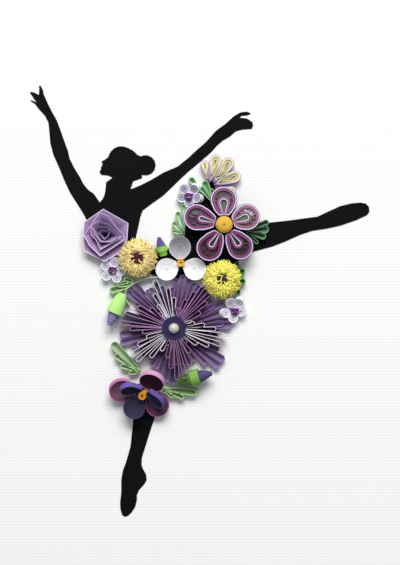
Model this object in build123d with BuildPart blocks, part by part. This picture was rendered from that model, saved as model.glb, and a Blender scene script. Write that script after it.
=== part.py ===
from build123d import *
import os
from math import asin, atan2, cos, degrees, hypot, pi, radians, sin, tan

os.makedirs("parts", exist_ok=True)

# A quilled paper picture: a dancer cut from black paper on a white card, her dress built
# from rolled, looped, folded and fringed paper strips. The card lies flat, its back at
# zero height, its middle at the origin, the dancer's head towards +Y. Millimetres.

# Card and cut paper
card_width = 210.0
card_length = 297.0
card_thickness = 0.4
figure_thickness = 0.25
outline_grid = 0.5
picture_middle_px = (200, 282.5)

# Strips and the clearances between pieces
strip_wall = 0.35
leaf_strip = 3.0
leaf_loop_half = 1.05
layer_clearance = 0.3
side_clearance = 0.2

# Folded rose
rose_radius = 12.6
rose_foot_radius = 7.6
rose_height = 8.0
rose_fold = 0.7
rose_floor = 0.6
rose_sides = 7

# Fringed flowers
fringed_radius = 10.2
fringed_core_radius = 2.9
fringe_rise = 3.2
fringe_thickness = 0.45
fringe_fingers = 16

# Purple flower of five wrapped drops
purple_reach = 19.0
purple_waist_radius = 6.0
purple_height = 4.0
purple_wrap = 1.7
purple_centre_radius = 4.2
purple_hole_round = 2.0
purple_hole_wrap = 1.2

# White trefoil
trefoil_reach = 13.3
trefoil_round = 5.4
trefoil_height = 4.0
trefoil_wall = 0.8
trefoil_centre_radius = 1.9

# Small flowers of five coils
coil_radius = 2.4
coil_height = 3.0
coil_wall = 0.5
gem_radius = 2.2
gem_height = 1.2

# Rolled buds
bud_rim_radius = 4.1
bud_stem_radius = 1.2
bud_cup_length = 10.8
bud_wall = 0.5
bud_tip_length = 6.3

# Fan of cream drops
fan_height = 3.0
fan_wrap = 0.6
fan_turn_gap = 0.55

# Husked flower of strip loops
husk_lower_strip = 2.5
husk_upper_strip = 3.0
husk_loop_half = 1.1
husk_disc_radius = 5.9
husk_disc_height = 1.6
pearl_radius = 2.6

# Pansy of rolled cups
pink_strip = 3.0
violet_strip = 2.7
cup_wall = 0.9
pansy_centre_radius = 1.5
pansy_centre_height = 9.0

# Heights that follow from the layers
bed = card_thickness + figure_thickness
husk_upper_bed = bed + husk_lower_strip
husk_top = husk_upper_bed + husk_upper_strip
purple_bed = bed + max(trefoil_height, leaf_strip, fan_height) + layer_clearance
pansy_bed = bed + side_clearance / 2
fringe_foot = husk_top - bed - fringe_rise / 2


def spot(pixel):
    """The place on the card of a pixel of the picture."""
    across = (pixel[0] - picture_middle_px[0]) * outline_grid
    up = (picture_middle_px[1] - pixel[1]) * outline_grid
    return across, up


def turned(points, angle, origin=(0, 0)):
    """Points turned by an angle in degrees and moved to an origin."""
    c = cos(radians(angle))
    s = sin(radians(angle))
    return [(origin[0] + c * x - s * y, origin[1] + s * x + c * y) for x, y in points]


def heading(start, end):
    """Length and angle of the line from start to end."""
    dx = end[0] - start[0]
    dy = end[1] - start[1]
    return hypot(dx, dy), degrees(atan2(dy, dx))


fullest_share = 0.9


def drop_outline(near, far, near_half, far_half, steps):
    """A drop along +X: narrow at near, closed by a round end of radius far_half at far."""
    middle = far - far_half
    swell = asin(min((far_half - near_half) / (middle - near), fullest_share))
    angles = [(pi / 2 + swell) * (1 - 2 * i / steps) for i in range(steps + 1)]
    end = [(middle + far_half * cos(a), far_half * sin(a)) for a in angles]
    if near_half > 0:
        return [(near, near_half)] + end + [(near, -near_half)]
    return [(near, 0)] + end


def closed_face(points):
    """A flat face inside a closed outline of points."""
    with BuildSketch(mode=Mode.PRIVATE) as face:
        with BuildLine():
            Polyline(*points, close=True)
        make_face()
    return face.sketch


pinch_share = 0.6


def strip_loop(near, far, near_half, far_half, wall, angle, origin=(0, 0), steps=3):
    """A strip standing on edge, bent into a long loop."""
    outer = drop_outline(near, far, near_half, far_half, steps)
    pinch = near + (far - near) * wall / far_half * pinch_share
    inner = drop_outline(pinch, far - wall, 0, far_half - wall, steps)
    with BuildSketch(mode=Mode.PRIVATE) as loop:
        add(closed_face(turned(outer, angle, origin)))
        add(closed_face(turned(inner, angle, origin)), mode=Mode.SUBTRACT)
    return loop.sketch


def standing_plane(place, height, angle=0):
    """A level plane at a place and height, its X axis turned to the angle."""
    return Plane(
        origin=(place[0], place[1], height),
        x_dir=(cos(radians(angle)), sin(radians(angle)), 0),
        z_dir=(0, 0, 1),
    )


def frustum(plane, low_radius, high_radius, height, sides, rotation=0):
    """A regular polygon's prism that narrows or widens from its plane to its height."""
    flat_share = cos(pi / sides)
    lean = degrees(atan2(abs(high_radius - low_radius) * flat_share, height))
    with BuildPart(mode=Mode.PRIVATE) as body:
        with BuildSketch(Plane.XY):
            RegularPolygon(max(low_radius, high_radius), sides, rotation=rotation)
        extrude(amount=height, taper=lean)
        if high_radius > low_radius:
            mirror(about=Plane.XY.offset(height / 2), mode=Mode.REPLACE)
    return body.part.moved(plane.location)


def finish(piece, name):
    """Names a finished piece and writes its file."""
    piece.part.label = name
    export_step(piece.part, f"parts/{name}.step")


# Backing card
with BuildPart() as backing_card:
    with BuildSketch(Plane.XY):
        Rectangle(card_width, card_length)
    extrude(amount=card_thickness)
finish(backing_card, "backing_card")

# Dancer's arms, body and raised leg, one piece of cut black paper
upper_body_px = [
    (40.1, 84.9), (42.6, 89.5), (43.5, 94.1), (47.6, 103.3), (51, 110.2), (56.2, 119.4),
    (60.2, 129.7), (64.2, 141.2), (67.6, 150.4), (69.4, 158.4), (74, 167.6), (79.7, 176.8),
    (83.1, 183.6), (87.7, 189.4), (93.5, 193.4), (96.4, 197.6), (99.5, 202.2), (102, 199.4),
    (104.2, 195.2), (105.2, 190), (106, 182), (120, 172), (133, 181), (131.6, 185.5),
    (130.2, 188.8),
    (134, 187.8), (141.7, 184.4), (152, 179.1), (163.5, 172.2), (177.3, 166.4),
    (188.8, 157.2), (196.1, 150.3), (205.4, 142.2), (216.2, 130.2), (225.5, 123.5),
    (233.6, 116.1), (240.3, 112.1), (246, 111.3), (249.6, 112.1), (250.8, 113.6),
    (247, 115), (241.6, 115.4), (239.4, 117.4), (247, 118.1), (252.3, 121.5),
    (253.4, 125.1), (251.6, 128.6), (242.9, 129.1), (236.2, 130.8), (229.6, 136.4),
    (222.9, 140.2), (217.5, 144.9), (210.8, 152.3), (200.1, 161.6), (188, 171.7),
    (180, 179.1), (171.5, 187.4), (163.5, 195.1), (152, 203.2), (142.8, 210.1),
    (140.3, 216.6), (137.9, 228.1), (135.6, 237.8), (140, 246), (160, 250), (181, 246),
    (184.5, 236), (186.5, 222), (190, 208), (199, 199), (202.5, 190), (206.5, 181),
    (213.5, 181), (219, 186), (226, 190), (231, 198), (233, 207), (242, 217), (255, 221.6),
    (268.4, 222.6), (287.1, 220.6), (301.9, 218.6), (317.9, 216.4), (327.3, 211.9),
    (340.7, 205.8), (352.8, 203), (361, 202.4), (366.2, 203.4), (369.2, 206.5),
    (369.9, 211.2), (367.5, 214.8), (356.8, 219.9), (340.7, 225.4), (327.3, 228.4),
    (312.6, 230.6), (300.5, 234.6), (284.5, 241.8), (272.4, 246.4), (253.7, 251.4),
    (241, 258), (232, 268), (215, 275), (195, 276), (180, 279), (165, 278), (152, 275),
    (138, 268), (122, 256), (108, 245), (97, 232), (86.6, 220), (83.1, 213.5),
    (77.4, 204.3), (69.4, 191.7), (63.6, 179.1), (59, 167.6), (53.3, 155), (50.1, 143.5),
    (49.1, 132), (48.1, 122.2), (44.7, 115.3), (38.4, 108.5), (34.9, 103.6), (30.3, 100.6),
    (31, 99.7), (36.6, 102.1), (33.8, 98.7), (32, 95.8), (29.6, 92.4), (30.6, 91.4),
    (34.3, 92.2), (38.6, 94.7), (38.9, 88.9), (38.7, 85.6),
]
# The head is a plain profile of its own, turned back on the neck: the points run from the
# crown over the face to the throat and back round the skull, as shares of its height.
head_middle_px = (120.5, 165.8)
head_height = 19.6
head_tilt = 30
profile_shares = [
    (-0.06, 0.5), (0.08, 0.495), (0.2, 0.465), (0.3, 0.405), (0.365, 0.325), (0.4, 0.225),
    (0.408, 0.12), (0.39, 0.06), (0.4, 0.01), (0.44, -0.075), (0.478, -0.135),
    (0.462, -0.165), (0.415, -0.18), (0.432, -0.222), (0.41, -0.246), (0.426, -0.285),
    (0.392, -0.318), (0.4, -0.375), (0.365, -0.425), (0.29, -0.432), (0.17, -0.37),
    (0.06, -0.36), (-0.3, -0.4), (-0.4, -0.2), (-0.47, 0.0), (-0.47, 0.16),
    (-0.41, 0.31), (-0.3, 0.425), (-0.18, 0.48),
]
bun_middle_px = (145.4, 165)
bun_radius = 5.1
bun_sides = 14
bun_link_px = [(130, 152), (141, 156), (142, 178), (130, 182)]

head_place = spot(head_middle_px)
head_points = [(-head_height * x, head_height * y) for x, y in profile_shares]
with BuildPart() as dancer_silhouette:
    with BuildSketch(Plane.XY.offset(card_thickness)):
        add(closed_face([spot(p) for p in upper_body_px]))
        add(closed_face(turned(head_points, -head_tilt, head_place)))
        add(closed_face([spot(p) for p in bun_link_px]))
        with Locations(spot(bun_middle_px)):
            RegularPolygon(bun_radius, bun_sides)
    extrude(amount=figure_thickness)
finish(dancer_silhouette, "dancer_silhouette")

# Dancer's standing leg, a second piece of the same paper
standing_leg_px = [
    (138, 384), (154, 384), (156, 400), (155.1, 416.6), (151.4, 427.4), (148, 438.1),
    (144.7, 448.9), (141.8, 458), (141.4, 465.5), (143.1, 469.7), (146, 475), (146.6, 480.4),
    (143.9, 484.9), (138.9, 490.4), (136.8, 495.4), (136.8, 500.3), (135.2, 507),
    (131.5, 512.8), (128.1, 516.1), (124.8, 517.2), (121.9, 515.3), (120.3, 509.5),
    (120, 502.8), (121.2, 491.2), (121.1, 484), (121.3, 478.8), (122.8, 470.5),
    (125.7, 463), (128.1, 454.7), (130.4, 446.4), (131.5, 435.7), (132.7, 424.9),
    (133.1, 417.8), (134, 400),
]
with BuildPart() as dancer_standing_leg:
    with BuildSketch(Plane.XY.offset(card_thickness)):
        add(closed_face([spot(p) for p in standing_leg_px]))
    extrude(amount=figure_thickness)
finish(dancer_standing_leg, "dancer_standing_leg")

# Folded rose: one strip folded round and round, so its turns are nested flared walls
rose_px = (105.4, 235.4)
rose_turn = 12
rose_step = 25
rose_ring_shares = [
    (1.0, 1.0, 0.86), (0.82, 0.8, 0.94), (0.64, 0.62, 1.0), (0.46, 0.45, 1.0), (0.29, 0.28, 0.95),
]
rose_place = spot(rose_px)
with BuildPart() as folded_rose:
    with BuildSketch(standing_plane(rose_place, bed, rose_turn)):
        RegularPolygon(rose_foot_radius, rose_sides)
    extrude(amount=rose_floor)
    for ring, (top_share, foot_share, height_share) in enumerate(rose_ring_shares):
        ring_plane = standing_plane(rose_place, bed, rose_turn + rose_step * ring)
        ring_height = rose_height * height_share
        outer_top = rose_radius * top_share
        outer_foot = rose_foot_radius * foot_share
        with BuildPart(mode=Mode.PRIVATE) as wall:
            add(frustum(ring_plane, outer_foot, outer_top, ring_height, rose_sides))
            add(
                frustum(
                    ring_plane, outer_foot - rose_fold, outer_top - rose_fold, ring_height, rose_sides
                ),
                mode=Mode.SUBTRACT,
            )
        add(wall.part)
finish(folded_rose, "folded_rose")


def fringe_finger(root_radius, root_height, tip_radius, tip_height, root_width, tip_width):
    """One cut finger of the fringe, widening from the roll to its tip."""
    length, lift = heading((root_radius, root_height), (tip_radius, tip_height))
    flat = Plane(
        origin=(root_radius, 0, root_height),
        x_dir=(cos(radians(lift)), 0, sin(radians(lift))),
        z_dir=(-sin(radians(lift)), 0, cos(radians(lift))),
    )
    outline = [
        (0, -root_width / 2), (length, -tip_width / 2), (length, tip_width / 2), (0, root_width / 2),
    ]
    with BuildPart(mode=Mode.PRIVATE) as finger:
        with BuildSketch(flat):
            add(closed_face(outline))
        extrude(amount=fringe_thickness)
    return finger.part


# Fringed flowers: a fringed strip rolled on a core, its fingers spread in three tiers
fringe_tier_shares = [(1.0, 0.0, 1.0), (0.83, 0.45, 1.5), (0.62, 0.85, 1.8)]
fringe_places_px = {"cream": (138, 258), "yellow": (222, 279)}
root_gap_share = 0.8
tip_gap_share = 0.86
root_radius_in_core_share = 0.9
core_height_share = 1.1
heart_radius_share = 0.72
heart_top_share = 0.6
heart_height_share = 0.25
core_sides = 16
cut_over_share = 1.5
for colour, place_px in fringe_places_px.items():
    place = spot(place_px)
    core_top = bed + fringe_foot + fringe_rise * core_height_share
    root_radius = fringed_core_radius * root_radius_in_core_share
    root_width = 2 * root_radius * tan(pi / fringe_fingers) * root_gap_share
    with BuildPart() as fringed_flower:
        with BuildSketch(standing_plane(place, bed)):
            RegularPolygon(fringed_core_radius, core_sides)
        extrude(amount=core_top - bed)
        for tier, (reach_share, root_share, tip_share) in enumerate(fringe_tier_shares):
            tip_radius = fringed_radius * reach_share - fringe_thickness / 2
            tip_width = 2 * tip_radius * tan(pi / fringe_fingers) * tip_gap_share
            finger = fringe_finger(
                root_radius,
                bed + fringe_foot + fringe_rise * root_share + fringe_thickness / 2,
                tip_radius,
                bed + fringe_foot + fringe_rise * tip_share + fringe_thickness / 2,
                root_width,
                tip_width,
            )
            with Locations(standing_plane(place, 0, tier * 180 / fringe_fingers)):
                with PolarLocations(0, fringe_fingers):
                    add(finger)
        if colour == "cream":
            lean_out = (rose_radius - rose_foot_radius) / rose_ring_shares[0][2]
            add(
                frustum(
                    standing_plane(rose_place, bed, rose_turn),
                    rose_foot_radius + side_clearance * 2,
                    rose_foot_radius + lean_out * cut_over_share + side_clearance * 2,
                    rose_height * cut_over_share,
                    rose_sides,
                ),
                mode=Mode.SUBTRACT,
            )
    finish(fringed_flower, f"{colour}_fringed_flower")
    heart_low = fringed_core_radius * heart_radius_share
    with BuildPart() as flower_heart:
        add(
            frustum(
                standing_plane(place, core_top), heart_low, heart_low * heart_top_share,
                fringed_core_radius * heart_height_share, core_sides // 2,
            )
        )
    finish(flower_heart, f"{colour}_flower_heart")

# Purple flower: five drops rolled of several strips, round a domed tight coil
purple_px = (223.9, 225.2)
purple_angles = [91, 18.6, -53.4, 237.6, 164.6]
purple_near = purple_centre_radius + side_clearance
purple_sector = 34.5
purple_near_half = purple_near * tan(radians(purple_sector)) - side_clearance
purple_round = (purple_reach - purple_waist_radius) / 2
purple_steps = 9
hole_reach_share = 0.62
hole_near_half_share = 0.2
purple_place = spot(purple_px)
for number, angle in enumerate(purple_angles, 1):
    outer = drop_outline(purple_near, purple_reach, purple_near_half, purple_round, purple_steps)
    hollow = drop_outline(
        purple_near + purple_wrap / 2,
        purple_reach - purple_wrap,
        purple_near_half - purple_wrap / 2,
        purple_round - purple_wrap,
        purple_steps,
    )
    hole_far = purple_near + (purple_reach - purple_near) * hole_reach_share
    inner_wrap = drop_outline(
        purple_near, hole_far + purple_hole_wrap, purple_near_half / 2,
        purple_hole_round + purple_hole_wrap, purple_steps - 2,
    )
    hole = drop_outline(
        purple_near + purple_wrap / 2, hole_far, purple_near_half * hole_near_half_share,
        purple_hole_round, purple_steps - 2,
    )
    with BuildPart() as purple_petal:
        with BuildSketch(standing_plane(purple_place, purple_bed, angle)):
            add(closed_face(outer))
            add(closed_face(hollow), mode=Mode.SUBTRACT)
            add(closed_face(inner_wrap))
            add(closed_face(hole), mode=Mode.SUBTRACT)
        extrude(amount=purple_height)
    finish(purple_petal, f"purple_flower_petal_{number}")

dome_height_share = 0.35
dome_top_share = 0.45
with BuildPart() as purple_centre:
    with BuildSketch(standing_plane(purple_place, bed)):
        RegularPolygon(purple_centre_radius, core_sides)
    extrude(amount=purple_bed + purple_height - bed)
    add(
        frustum(
            standing_plane(purple_place, purple_bed + purple_height), purple_centre_radius,
            purple_centre_radius * dome_top_share, purple_centre_radius * dome_height_share,
            core_sides,
        )
    )
finish(purple_centre, "purple_flower_centre")

# White trefoil: three tight drops pressed into bowls, round an orange coil
trefoil_px = (180.9, 262.8)
trefoil_angles = [94, 207, -26]
trefoil_near = trefoil_centre_radius + side_clearance
trefoil_near_half_share = 0.55
trefoil_near_half = trefoil_centre_radius * trefoil_near_half_share
trefoil_bowl_shares = [(1, 0.3), (2.6, 0.6)]
bowl_tip_share = 1.0
trefoil_steps = 8
trefoil_place = spot(trefoil_px)
for number, angle in enumerate(trefoil_angles, 1):
    with BuildPart() as trefoil_petal:
        with BuildSketch(standing_plane(trefoil_place, bed, angle)):
            add(
                closed_face(
                    drop_outline(
                        trefoil_near, trefoil_reach, trefoil_near_half, trefoil_round, trefoil_steps
                    )
                )
            )
        extrude(amount=trefoil_height)
        for wall_share, depth_share in trefoil_bowl_shares:
            inset = trefoil_wall * wall_share
            bowl = drop_outline(
                trefoil_near + inset * bowl_tip_share, trefoil_reach - inset, 0,
                trefoil_round - inset, trefoil_steps,
            )
            depth = trefoil_height * depth_share
            with BuildSketch(standing_plane(trefoil_place, bed + trefoil_height, angle)):
                add(closed_face(bowl))
            extrude(amount=-depth, mode=Mode.SUBTRACT)
    finish(trefoil_petal, f"white_trefoil_petal_{number}")
with BuildPart() as trefoil_centre:
    with BuildSketch(standing_plane(trefoil_place, bed)):
        RegularPolygon(trefoil_centre_radius, core_sides // 2)
    extrude(amount=trefoil_height + trefoil_wall)
finish(trefoil_centre, "white_trefoil_centre")

# Small flowers: five tight white coils in a ring, with a faceted gem glued on their rims
small_places_px = [(112.8, 270.2), (188.6, 196.5), (234.9, 311.2)]
small_turns = [6, 52, 53]
coil_sides = 10
coil_count = 5
gem_sides = 8
gem_top_share = 0.5
coil_ring_radius = (coil_radius + side_clearance / 2) / sin(pi / coil_count)
for number, (place_px, turn) in enumerate(zip(small_places_px, small_turns), 1):
    place = spot(place_px)
    with BuildPart() as small_flower:
        with BuildSketch(standing_plane(place, bed, turn)):
            with PolarLocations(coil_ring_radius, coil_count):
                RegularPolygon(coil_radius, coil_sides)
        extrude(amount=coil_height)
        with BuildSketch(standing_plane(place, bed + coil_height, turn)):
            with PolarLocations(coil_ring_radius, coil_count):
                RegularPolygon(coil_radius - coil_wall, coil_sides)
        extrude(amount=-coil_height / 2, mode=Mode.SUBTRACT)
    finish(small_flower, f"small_white_flower_{number}")
    with BuildPart() as gem:
        add(
            frustum(
                standing_plane(place, bed + coil_height), gem_radius, gem_radius * gem_top_share,
                gem_height, gem_sides,
            )
        )
    finish(gem, f"small_flower_gem_{number}")

# Rolled buds: a green paper cup lying on the card, with a violet rolled point in it
bud_ends_px = [
    ((123.1, 293.7), (114.5, 313.5)), ((177.4, 382), (199.4, 376)), ((163.6, 255.6), (161.2, 246.3)),
]
bud_rim_shares = [1.0, 1.02, 0.72]
bud_stem_shares = [1.0, 1.3, 1.7]
bud_length_shares = [1.0, 1.06, 0.45]
bud_sides = 10
band_share = 0.5
band_radius_share = 0.85
band_step_share = 0.94
mouth_share = 0.3
point_step_share = 0.3
point_taper_shares = (1.0, 0.88, 0.8, 0.3)
for number, (stem_px, rim_px) in enumerate(bud_ends_px, 1):
    rim = spot(rim_px)
    cup_angle = heading(spot(stem_px), rim)[1]
    cup_length = bud_cup_length * bud_length_shares[number - 1]
    rim_radius = bud_rim_radius * bud_rim_shares[number - 1]
    stem_radius = bud_stem_radius * bud_stem_shares[number - 1]
    band_radius = rim_radius * band_radius_share
    flat_share = cos(pi / bud_sides)
    slope = atan2((rim_radius - band_radius) * flat_share, cup_length * (1 - band_share))
    run = cup_length / cos(slope)
    band = run * band_share
    level = Vector(cos(radians(cup_angle)), sin(radians(cup_angle)), 0)
    upright = Vector(0, 0, 1)
    lie = bed + side_clearance / 2 + band_radius * flat_share * cos(slope)
    foot = Plane(
        origin=Vector(rim[0], rim[1], lie - band * sin(slope)) - level * cup_length,
        x_dir=Vector(-level.Y, level.X, 0),
        z_dir=level * cos(slope) + upright * sin(slope),
    )
    half_side = 180 / bud_sides
    with BuildPart() as bud_cup:
        add(frustum(foot, stem_radius, band_radius * band_step_share, band, bud_sides, half_side))
        add(frustum(foot.offset(band), band_radius, rim_radius, run - band, bud_sides, half_side))
        with BuildSketch(foot.offset(run)):
            RegularPolygon(rim_radius - bud_wall, bud_sides, rotation=half_side)
        extrude(amount=-run * mouth_share, mode=Mode.SUBTRACT)
    finish(bud_cup, f"bud_cup_{number}")
    point_low = run * (1 - mouth_share) + side_clearance / 2
    point_radius = band_radius - bud_wall
    tip_length = bud_tip_length * bud_rim_shares[number - 1]
    step = run + tip_length * point_step_share
    point_radii = [point_radius * share for share in point_taper_shares]
    with BuildPart() as bud_point:
        add(
            frustum(
                foot.offset(point_low), point_radii[0], point_radii[1], step - point_low,
                bud_sides, half_side,
            )
        )
        add(
            frustum(
                foot.offset(step), point_radii[2], point_radii[3],
                tip_length * (1 - point_step_share), bud_sides, half_side,
            )
        )
    finish(bud_point, f"bud_point_{number}")

# Fan of cream drops behind the purple flower, each a roll in a lilac wrap
fan_drops_px = [
    ((207.8, 180.3), (204.3, 160.7), 7.4), ((209.9, 181.8), (218, 155.1), 10.8),
    ((213.4, 182.1), (231.7, 158.9), 12), ((214.5, 184.9), (239.7, 172.6), 12),
    ((215.5, 187.7), (235.2, 190.2), 8.6),
]
fan_pinch_share = 0.12
fan_steps = 6
for number, (root_px, tip_px, width_px) in enumerate(fan_drops_px, 1):
    root = spot(root_px)
    length, angle = heading(root, spot(tip_px))
    half = width_px * outline_grid / 2
    inset = fan_wrap + fan_turn_gap
    with BuildPart() as fan_petal:
        with BuildSketch(standing_plane(root, bed, angle)):
            add(closed_face(drop_outline(0, length, strip_wall, half, fan_steps)))
            hollow = drop_outline(
                length * fan_pinch_share, length - fan_wrap, 0, half - fan_wrap, fan_steps
            )
            add(closed_face(hollow), mode=Mode.SUBTRACT)
            add(
                strip_loop(
                    0, length - inset, strip_wall, half - inset, strip_wall, 0, steps=fan_steps - 2
                )
            )
        extrude(amount=fan_height)
    finish(fan_petal, f"fan_petal_{number}")

# Leaves: strips bent into loops that fan out from one root
leaf_table_px = [
    ((246, 231), [(268.5, 221.6), (268.8, 229.2), (265.8, 237.4), (257.7, 243.6)]),
    ((214.5, 204), [(200.8, 187.2), (203.8, 181.2), (211.4, 188.8)]),
    ((183.4, 233), [(182.6, 210.4), (177, 212.6), (172.4, 221.6), (172.4, 229.4)]),
    ((133, 282.6), [(109.9, 291), (116.8, 287), (124.2, 281.4)]),
    ((140.3, 371.4), [(112.1, 342.6), (115, 355.1), (120.6, 365.4), (128.7, 372.9)]),
    ((162.6, 391), [(199.2, 389.9), (197, 394.4), (184.3, 397.6), (173.5, 396.6)]),
    ((229.5, 279.5), [(237.6, 262), (244.6, 270), (245.4, 282), (239.4, 294.6)]),
]
leaf_root_share = 0.7
root_sides = 6
for number, (root_px, tips_px) in enumerate(leaf_table_px, 1):
    root = spot(root_px)
    with BuildPart() as leaf:
        with BuildSketch(Plane.XY.offset(bed)):
            with Locations(root):
                RegularPolygon(leaf_loop_half * leaf_root_share, root_sides)
            for tip_px in tips_px:
                reach, angle = heading(root, spot(tip_px))
                add(strip_loop(0, reach, strip_wall, leaf_loop_half, strip_wall, angle, root))
        extrude(amount=leaf_strip)
    finish(leaf, f"leaf_{number}")

# Husked flower: long strip loops fanned into petals, in two layers round a navy coil
husk_px = (174.1, 328)
husk_place = spot(husk_px)
upper_petals_px = [
    [(50, 112.5), (44, 102), (41, 97.5), (40.4, 119), (31, 91.5), (27.8, 125.6)],
    [(20.2, 76), (30.8, 67.5), (42, 59.8), (53.2, 54.3), (51, 43.7), (41.2, 38.2), (30.6, 33.1)],
    [(21, 16.3), (31, 7.2), (41.8, -1.4), (52, -8.7), (49.6, -19.7), (39.4, -27.5), (27, -35.4)],
    [(40.8, 293.4), (30, 302), (51.8, 282.6), (51.8, 274.9), (40.9, 266), (30.2, 257.8)],
    [(25.7, 239), (37.3, 229.9), (49.4, 221), (49.8, 211), (39.3, 204.3), (28.9, 198.5)],
    [(32.1, 186.5), (43.7, 180), (54.3, 173.8), (50.6, 160.9), (47.8, 148), (30.6, 140)],
]
lower_petals_px = [
    [(61.1, 141.2), (59, 133), (47.7, 124.5)],
    [(56.2, 194.2), (54.9, 186.7), (45.7, 204.2)],
    [(56.5, 269), (53.6, 262.2), (43.3, 245.3)],
    [(60, 319.7), (60, 327.4), (49.2, 310.6)],
    [(54, 2.9), (56.7, 26.7), (48.1, 32)],
    [(49.5, 65.3), (48.7, 81.3), (41.2, 92)],
]
rising_petal = 4
root_band = 1.0
upper_root_share = 0.72
lower_root_share = 1.1
bud_top_share = 0.86
upper_root = husk_disc_radius * upper_root_share
lower_root = husk_disc_radius * lower_root_share
bud_two_top = bed + side_clearance + 2 * bud_rim_radius * bud_top_share


def husk_petal(loops_px, root):
    """The strip loops of one petal, joined where they turn at the root."""
    angles = sorted(angle for length, angle in loops_px)
    inside = [turned([(root, 0)], angle)[0] for angle in angles]
    outside = [turned([(root + root_band, 0)], angle)[0] for angle in reversed(angles)]
    with BuildSketch(mode=Mode.PRIVATE) as petal:
        add(closed_face(inside + outside))
        for length_px, angle in loops_px:
            far = length_px * outline_grid
            add(strip_loop(root, far, strip_wall, husk_loop_half, strip_wall, angle))
    return petal.sketch


for number, loops_px in enumerate(upper_petals_px, 1):
    middle_angle = sum(angle for length, angle in loops_px) / len(loops_px)
    reach = max(length for length, angle in loops_px) * outline_grid
    rises = number == rising_petal
    climb = atan2(bud_two_top - husk_upper_bed, reach) if rises else 0
    risen_root = husk_disc_radius + side_clearance + husk_upper_strip * sin(climb)
    level = standing_plane(husk_place, husk_upper_bed, middle_angle)
    with BuildPart() as upper_petal:
        plane = Plane(
            origin=level.origin,
            x_dir=level.x_dir * cos(climb) + level.z_dir * sin(climb),
            z_dir=level.z_dir * cos(climb) - level.x_dir * sin(climb),
        )
        turned_loops = [(length, angle - middle_angle) for length, angle in loops_px]
        with BuildSketch(plane):
            add(husk_petal(turned_loops, risen_root if rises else upper_root))
        extrude(amount=husk_upper_strip)
    finish(upper_petal, f"husked_upper_petal_{number}")
with BuildPart() as lower_petals:
    with BuildSketch(standing_plane(husk_place, bed)):
        for loops_px in lower_petals_px:
            add(husk_petal(loops_px, lower_root))
    extrude(amount=husk_lower_strip)
finish(lower_petals, "husked_lower_petals")
disc_lip = 0.3
disc_lip_share = 0.9
pearl_seat_share = 1.2
with BuildPart() as husk_disc:
    with BuildSketch(standing_plane(husk_place, husk_top)):
        RegularPolygon(husk_disc_radius, core_sides)
    extrude(amount=husk_disc_height)
    with BuildSketch(standing_plane(husk_place, husk_top + husk_disc_height)):
        RegularPolygon(husk_disc_radius * disc_lip_share, core_sides)
        RegularPolygon(pearl_radius * pearl_seat_share, core_sides, mode=Mode.SUBTRACT)
    extrude(amount=-disc_lip, mode=Mode.SUBTRACT)
finish(husk_disc, "husked_flower_disc")
pearl_base = husk_top + husk_disc_height
pearl_shares = [(0.0, 1.0), (0.55, 0.85), (1.0, 0.3)]
pearl_sides = 12
with BuildPart() as husk_pearl:
    for (low_share, low_reach), (high_share, high_reach) in zip(pearl_shares, pearl_shares[1:]):
        add(
            frustum(
                standing_plane(husk_place, pearl_base + pearl_radius * low_share),
                pearl_radius * low_reach, pearl_radius * high_reach,
                pearl_radius * (high_share - low_share), pearl_sides,
            )
        )
finish(husk_pearl, "husked_flower_pearl")

# Pansy: three pink rolled petals below, three violet ones on them, and an orange peg of
# rolled paper. Each petal is a roll pressed into a shallow cup and leans up on one side.
# Root, direction, side that is raised, tilt, level above the bed, length and half width.
pink_table = [
    ((150.4, 386.2), 69, 69, 44, 0, 11.8, 6.2),
    ((134.6, 390.4), 172, 115, 26, 0, 13.2, 5.9),
    ((149, 394.6), -49, 45, 8, 0, 12.4, 5.6),
]
violet_table = [
    ((141.2, 386), 178, 102, 55, 4.7, 10.8, 4.0),
    ((150.6, 388.4), -48, 45, 55, 2.9, 10.6, 4.0),
    ((139.2, 395.8), 248, 248, 4, 3.1, 11.8, 5.3),
]
petal_steps = 9
petal_point_share = 0.35
peg_foot_px = (146.2, 391.6)
peg_top_px = (142.4, 395.2)


def rolled_petal(root_px, angle, raised, tilt, low, length, half, height):
    """A pressed roll, its tip at the root, on a plane that rises towards the raised side."""
    uphill = Vector(cos(radians(raised)), sin(radians(raised)), 0)
    upwards = Vector(0, 0, 1)
    along = uphill * cos(radians(tilt)) + upwards * sin(radians(tilt))
    across = upwards.cross(uphill)
    off = radians(angle - raised)
    x_dir = (across * sin(off) + along * (cos(off) / cos(radians(tilt)))).normalized()
    z_dir = upwards * cos(radians(tilt)) - uphill * sin(radians(tilt))
    y_dir = z_dir.cross(x_dir)
    outline = drop_outline(0, length, half * petal_point_share, half, petal_steps)
    lowest = min(x * x_dir.Z + y * y_dir.Z for x, y in outline)
    root = spot(root_px)
    plane = Plane(origin=(root[0], root[1], pansy_bed + low - lowest), x_dir=x_dir, z_dir=z_dir)
    with BuildPart(mode=Mode.PRIVATE) as petal:
        with BuildSketch(plane):
            add(closed_face(outline))
        extrude(amount=height)
        with BuildSketch(plane.offset(height)):
            add(closed_face(drop_outline(cup_wall, length - cup_wall, 0, half - cup_wall, petal_steps)))
        extrude(amount=-height / 2, mode=Mode.SUBTRACT)
    return petal.part


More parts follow.
